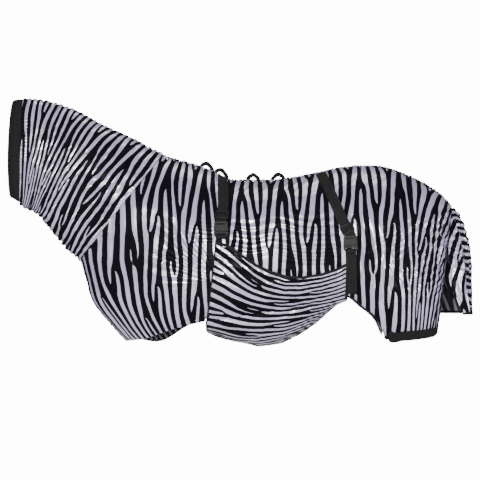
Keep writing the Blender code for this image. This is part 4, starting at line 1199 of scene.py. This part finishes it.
def make_tail():
    split = 2 / math.pi * math.asin(0.055 / 0.148)
    level = np.linspace(0.0, 0.985, 118)
    for name, node, low, high, count in (
        ("tail_centre_cloth", "tail_centre", -split, split, 34),
        ("tail_wing_cloth_left", "tail_wing_left", -1.0, -split, 62),
        ("tail_wing_cloth_right", "tail_wing_right", split, 1.0, 62),
    ):
        side = np.linspace(low, high, count)
        ll, ss = np.meshgrid(level, side, indexing="ij")
        points = tail_points(ll, ss)
        down = travel(points)
        wide = travel(points, 1)
        if "centre" in name:
            uv = np.stack([down * 1.3 + 0.01, wide - wide[:, -1:] / 2 + 0.12], axis=-1)
        else:
            seam = wide[:, -1:] - wide if "left" in name else wide
            hanging = np.stack([wide + 0.35 * down + 0.04, down + 0.2], axis=-1)
            barred = np.stack([down * 1.3 + 0.01, seam + 0.12], axis=-1)
            uv = np.where((seam < 0.062)[..., None], barred, hanging)
        lay = SimpleNamespace(points=points, normals=normals_of(points), uv=uv, side=FAR)
        gap = np.minimum(wide - wide[:, :1], wide[:, -1:] - wide)
        inner = gap if "centre" in name else (wide[:, -1:] - wide if "left" in name else wide - wide[:, :1])
        folds = tail_folds(ll, ss, down, 500) - 0.0022 * bell(inner, 0, 0.004)
        cloth(name, lay, folds, PRINT, "tail_flap", "print",
              nodes=[node])
        seams = (1, -2) if "centre" in name else ((-3,) if "left" in name else (2,))
        sew_cloth("tail_flap", lay, *(np.s_[2:-1, j] for j in seams))
    side = np.linspace(-1, 1, 170)
    path, above = tail_points(0.99 + 0 * side, side), tail_points(0.96 + 0 * side, side)
    down = tail_points(1.0 + 0 * side, side) - above
    hem = tail_folds(0.985 + 0 * side, side, 0.5 + 0 * side, 500)
    forward = unit(np.gradient(path, axis=0))
    across = unit(-down - forward * (-down * forward).sum(1, keepdims=True))
    normal = unit(np.cross(across, forward))
    away = path - np.array([0.95, 0, 0])
    away[:, 2] = 0
    normal = normal * np.sign((normal * away).sum(1))[:, None]
    path = path + normal * np.clip(hem, -0.004, 0.008)[:, None] - normal * 0.0006
    bind("tail_hem_tape", path, across, normal, "tail_flap", "tail_binding")


# ---------------------------------------------------------------- webbing, sliders and buckles


def frame_of(here, down, normal):
    """Matrix of a fitting: X across the strap, Y down it, Z out of the cloth."""
    down = unit(down)
    normal = unit(normal - down * float(np.dot(down, normal)))
    across = np.cross(down, normal)
    made = Matrix.Identity(4)
    for k in range(3):
        made[k][0], made[k][1], made[k][2], made[k][3] = across[k], down[k], normal[k], here[k]
    return made


def in_frame(placing, x, y, z):
    m = np.array(placing)
    return m[:3, :3] @ np.array([x, y, z]) + m[:3, 3]


def fitting_frames(layout):
    slider, buckle, end = [np.array(p) for p in layout[1:]]
    here, normal = near_point(*buckle, BUCKLE_OFFSET)
    down = near_point(*end, BUCKLE_OFFSET)[0] - here
    buckle_frame = frame_of(here, down - normal * float(np.dot(down, normal)), normal)
    slot = in_frame(buckle_frame, 0, -SOCKET_LENGTH - SOCKET_LEAD, 0)
    here, normal = near_point(*slider, SLIDER_OFFSET)
    return frame_of(here, slot - here, normal), buckle_frame


def add_block(work, low, high, bevel=0.0012):
    """Rounded block from its lowest to its highest corner."""
    made = bmesh.ops.create_cube(work, size=1.0)["verts"]
    for vertex in made:
        for k in range(3):
            vertex.co[k] = high[k] if vertex.co[k] > 0 else low[k]
    if bevel:
        edges = {e for vertex in made for e in vertex.link_edges}
        bmesh.ops.bevel(work, geom=list(edges), offset=bevel, segments=3, profile=0.5, affect="EDGES")


def add_prism(work, outline, low, high, bevel=0.0):
    base = [work.verts.new((x, y, low)) for x, y in outline]
    face = work.faces.new(base)
    raised = bmesh.ops.extrude_face_region(work, geom=[face])["geom"]
    for item in raised:
        if isinstance(item, bmesh.types.BMVert):
            item.co.z = high
    if bevel:
        rims = [e for v in base for e in v.link_edges] + [
            e for item in raised if isinstance(item, bmesh.types.BMVert) for e in item.link_edges
        ]
        bmesh.ops.bevel(work, geom=list(set(rims)), offset=bevel, segments=3, profile=0.5, affect="EDGES")


def mesh_of(name, build):
    work = bmesh.new()
    build(work)
    bmesh.ops.recalc_face_normals(work, faces=work.faces)
    mesh = bpy.data.meshes.new(name)
    work.to_mesh(mesh)
    work.free()
    return mesh


def moulded(name, solid, hollow, placing, body, node, voxel=0.00055):
    """Moulded plastic: blocks joined, hollows cut, then every edge softened as a mould leaves it."""
    piece = place(name, mesh_of(name, solid))
    if hollow is not None:
        tool = place(name + "_hollow", mesh_of(name + "_hollow", hollow))
        cut = piece.modifiers.new("hollow", "BOOLEAN")
        cut.operation, cut.solver, cut.object, cut.use_self = "DIFFERENCE", "EXACT", tool, True
    skin = piece.modifiers.new("skin", "REMESH")
    skin.mode, skin.voxel_size, skin.use_smooth_shade = "VOXEL", voxel, True
    soft = piece.modifiers.new("soft", "SMOOTH")
    soft.factor, soft.iterations = 0.5, 3
    graph = bpy.context.evaluated_depsgraph_get()
    mesh = bpy.data.meshes.new_from_object(piece.evaluated_get(graph), depsgraph=graph)
    piece.modifiers.clear()
    if hollow is not None:
        bpy.data.objects.remove(tool)
    mesh.transform(placing)
    mesh.materials.clear()
    mesh.materials.append(ACETAL)
    mesh.shade_smooth()
    piece.data = mesh
    return finish(piece, body, "buckle", node)


def make_slider(name, placing):
    half = WEBBING / 2 + 0.001
    outer, long, bar = half + SLIDER_POST, SLIDER_LENGTH / 2, SLIDER_BAR
    over = WEBBING_THICK / 2 + 0.0005
    rise = over + bar * 0.8

    def solid(work):
        for sign in (-1, 1):
            edges = sorted((sign * half, sign * outer))
            add_block(work, (edges[0], -long, -rise), (edges[1], long, rise), 0.0016)
            low = -long if sign < 0 else long - 1.5 * bar
            add_block(work, (-half - 0.002, low, over), (half + 0.002, low + 1.5 * bar, over + bar), 0.0014)
        add_block(work, (-half - 0.002, -bar, -over - bar * 0.7), (half + 0.002, bar, -over), 0.0009)
        for x in np.linspace(-half + 0.004, half - 0.004, 15):
            low = (x - 0.0007, -long + 0.0004, over + bar - 0.0006)
            add_block(work, low, (x + 0.0007, -long + 5.2e-3, over + bar + 0.0005), 0)

    moulded(name + "_slider_moulding", solid, None, placing, name + "_slider", name + "_slider")


def make_socket(name, placing):
    half, thick, end, chamfer = SOCKET_WIDTH / 2, SOCKET_THICK / 2, -SOCKET_LENGTH, 0.006
    inner = half - SOCKET_WALL
    cavity_end = -PRONG_LENGTH - 0.002
    outline = [(-half + chamfer, end), (half - chamfer, end), (half - 0.0012, end + chamfer),
               (half, -0.012), (half, 0), (-half, 0), (-half, -0.012), (-half + 0.0012, end + chamfer)]

    def solid(work):
        add_prism(work, outline, -thick, thick - 0.0006, 0.0018)
        add_block(work, (-half + 0.0085, end + 0.0155, 0), (half - 0.0085, -0.0045, thick), 0.0012)
        add_block(work, (-half + 0.004, -0.0032, -thick), (half - 0.004, 0, thick), 0.0012)

    def hollow(work):
        add_block(work, (-inner, cavity_end, -thick + 0.0022), (inner, 0.01, thick - 0.0026), 0.0006)
        window = (half + 0.01, cavity_end + 0.017, thick - 0.0034)
        add_block(work, (-half - 0.01, cavity_end + 0.003, -thick + 0.0031), window, 0.0008)
        width = WEBBING / 2 + 0.0015
        add_block(work, (-width, end - 0.01, -0.0016), (width, end + 0.0085, 0.0016), 0)
        add_block(work, (-half + 0.012, end + 0.0100, 0.0026), (half - 0.012, end + 0.0128, 0.02), 0.0008)

    moulded(name + "_socket_moulding", solid, hollow, placing, "sheet", name + "_socket")


def make_latch(name, placing):
    half, play = SOCKET_WIDTH / 2, 0.0006
    thick = SOCKET_THICK / 2 - 0.0022 - play
    start = 2 * play
    outer = half - SOCKET_WALL - play
    notch = outer - PRONG_WIDTH * 1.9
    guide = -PRONG_LENGTH * 0.85
    outline = [(-half, start), (-notch, start), (-0.006, start), (-0.006, guide), (0.006, guide),
               (0.006, start), (notch, start), (half, start), (half, start + 0.016),
               (half - 0.006, start + LATCH_LENGTH), (-half + 0.006, start + LATCH_LENGTH),
               (-half, start + 0.016)]

    def solid(work):
        add_prism(work, outline, -thick, thick, 0)
        for x in (-0.020, -0.010, 0.0, 0.010, 0.020):
            low = (x - 0.0016, start + 0.0016, thick - 0.001)
            add_block(work, low, (x + 0.0016, start + 0.0070, thick + 0.0006), 0.0005)

    def hollow(work):
        width = WEBBING / 2 + 0.0005
        add_block(work, (-width, start + 0.009, -0.02), (width, start + 0.016, 0.02), 0)

    moulded(name + "_latch_moulding", solid, hollow, placing, name + "_latch", name + "_latch")
    for word, side in (("aft", -1), ("fore", 1)):
        prong = [(outer - PRONG_WIDTH * 1.6, 0), (outer - PRONG_WIDTH * 0.7, 0),
                 (outer - PRONG_WIDTH * 0.5, -PRONG_LENGTH * 0.55), (outer, -PRONG_LENGTH * 0.60),
                 (outer, -PRONG_LENGTH * 0.78), (outer - PRONG_WIDTH * 1.2, -PRONG_LENGTH),
                 (outer - PRONG_WIDTH * 1.7, -PRONG_LENGTH * 0.97)]
        shape = [(side * x, y) for x, y in prong]
        part = name + "_prong_" + word
        moulded(name + "_prong_moulding_" + word,
                lambda work: add_prism(work, shape, -thick * 0.85, thick * 0.85), None, placing,
                part, part, 0.0004)


def make_latch_loop(name, placing):
    thick = SOCKET_THICK / 2 - 0.0028
    slot, lay = 0.0012 + 0.0125, thick + 0.0005 + WEBBING_THICK / 2
    tail = 0.0012 + LATCH_LENGTH + LATCH_TAIL
    outline = [(tail, -lay), (slot + lay + 0.004, -lay), (slot + lay, -lay)]
    outline += [(slot + lay - lay * math.cos(a), lay * math.sin(a)) for a in np.linspace(-1.2, 1.2, 7)]
    outline += [(slot + lay, lay), (slot + lay + 0.004, lay), (tail, lay)]
    outline = dense(np.array(outline), 0.0012)
    slopes = np.gradient(outline, axis=0)
    m = np.array(placing)
    path = m[:3, 3] + outline[:, :1] * m[:3, 1] + outline[:, 1:] * m[:3, 2]
    normal = unit(slopes[:, :1] * m[:3, 2] - slopes[:, 1:] * m[:3, 1])
    across = np.tile(m[:3, 0], (len(path), 1))
    profile = tape_profile(WEBBING, WEBBING_THICK, 13)
    piece = sweep(name + "_latch_webbing", path, across, normal, profile, WOVEN)
    finish(piece, name + "_latch", "webbing", name + "_latch_loop")


def box_stitch(body, strip, start, length=0.026):
    """Sewn square with a cross in it, where webbing is fastened."""
    run = runs(strip.path)
    half = strip.width / 2 - 0.006

    def point(f, x):
        at = [np.interp(f, run, values) for values in np.hstack([strip.path, strip.across, strip.normal]).T]
        return np.array(at[:3]) + np.array(at[3:6]) * x + np.array(at[6:]) * (strip.thick / 2 + 0.0002)

    end = start + length
    corners = [(start, -half), (end, -half), (end, half), (start, half), (start, -half), (end, half)]
    corners += [(end, -half), (start, half)]
    for (f0, x0), (f1, x1) in zip(corners[:-1], corners[1:]):
        along = np.linspace(0, 1, 12)
        ROWS[body].append(np.array([point(f0 + (f1 - f0) * t, x0 + (x1 - x0) * t) for t in along]))


def make_strap(name, layout):
    slider_frame, buckle_frame = fitting_frames(layout)
    top = np.array(layout[0])
    straight = SLIDER_LENGTH / 2 + SLIDER_TRAVEL + 0.004
    start = in_frame(slider_frame, 0, -straight, 0)
    places = top + (start[[0, 2]] - top) * np.linspace(0, 0.85, 8)[:, None]
    path, normals = near_point(places[:, 0], places[:, 1], np.full(8, STRAP_OFFSET))
    tilt = np.array(slider_frame)[:3, 2]
    facing = np.array(buckle_frame)[:3, 2]
    path = [*path, start, in_frame(slider_frame, 0, SLIDER_LENGTH / 2, 0)]
    ends = (-SOCKET_LENGTH - SOCKET_LEAD, -SOCKET_LENGTH + SOCKET_TUCK)
    path += [in_frame(buckle_frame, 0, y, 0) for y in ends]
    normals = [*normals, tilt, tilt, facing, facing]
    strip = webbing(name + "_strap_webbing", path, normals, "sheet", [name + "_strap"])
    box_stitch("sheet", strip, 0.006)
    make_slider(name, slider_frame)
    make_socket(name, buckle_frame)
    make_latch(name, buckle_frame)
    make_latch_loop(name, buckle_frame)


def make_lower_straps():
    standing = WRAP_STAND + 0.0025 + WEBBING_THICK / 2
    buckle, end = np.array(REAR_STRAP[2]), np.array(REAR_STRAP[3])
    places = buckle + (end - buckle) * np.linspace(0.06, 1, 12)[:, None]
    over = step(-places[:, 1], -WRAP_TOP[-1, 1] - 0.045, -WRAP_TOP[-1, 1] - 0.006)
    path, normals = near_point(places[:, 0], places[:, 1], 0.0045 + (standing - 0.0045) * over)
    strip = webbing("rear_strap_lower_webbing", path, normals, "wrap", ["rear_strap_lower"])
    box_stitch("wrap", strip, 0.165)
    sewn, across, normal = strip.path[22:-1], strip.across[22:-1], strip.normal[22:-1]
    for side in (-1, 1):
        sew("wrap", sewn + across * side * 0.0215 + normal * 0.0011, normal)
    buckle, end = np.array(FRONT_STRAP[2]), np.array(FRONT_STRAP[3])
    down = (end - buckle) / np.linalg.norm(end - buckle)
    z = np.linspace(WRAP_TOP[0, 1] + 0.045, WRAP_TOP[0, 1] + 0.004, 4)
    path, normals = near_point(buckle[0] + down[0] * (buckle[1] - z), z, np.full(4, 0.0080))
    webbing("front_wrap_tab_webbing", path, normals, "wrap", ["front_wrap_tab"])


def make_keepers():
    for number, x0 in enumerate(KEEPERS, start=1):
        turn = np.linspace(0, math.pi, 21)
        x = x0 - 0.030 * np.cos(turn)
        z = topline(x) - 0.001 + 0.025 * (1 - np.abs(np.cos(turn)) ** 1.5)
        path = np.stack([x, 0 * x, z], axis=1)
        slope = np.gradient(path, axis=0)
        normals = unit(np.stack([-slope[:, 2], 0 * x, slope[:, 0]], axis=1))
        lean = 1.15 * np.sqrt(np.sin(turn))[:, None]
        normals = unit(normals * np.cos(lean) + np.array([0, -1.0, 0]) * np.sin(lean))
        webbing("keeper_webbing_%d" % number, path, normals, "sheet", ["keeper_loop_%d" % number],
                width=0.021, thick=0.0040)


# ---------------------------------------------------------------- assembly

for word, side in SIDES:
    make_neck(word, side)
    make_body(word, side)
    make_hems(word, side)
    make_leg_band(word, side)
make_chest()
make_back_strip()
make_face_band()
make_wrap()
make_tail()
make_strap("front", FRONT_STRAP)
make_strap("rear", REAR_STRAP)
make_lower_straps()
make_keepers()
for body, rows in ROWS.items():
    values = {"Pitch": 0.0042, "Size": (0.0014, 0.00038, 0.00038), "Thread": THREAD}
    along_curves(body + "_stitching", rows, STITCHES, values, body, "binding")
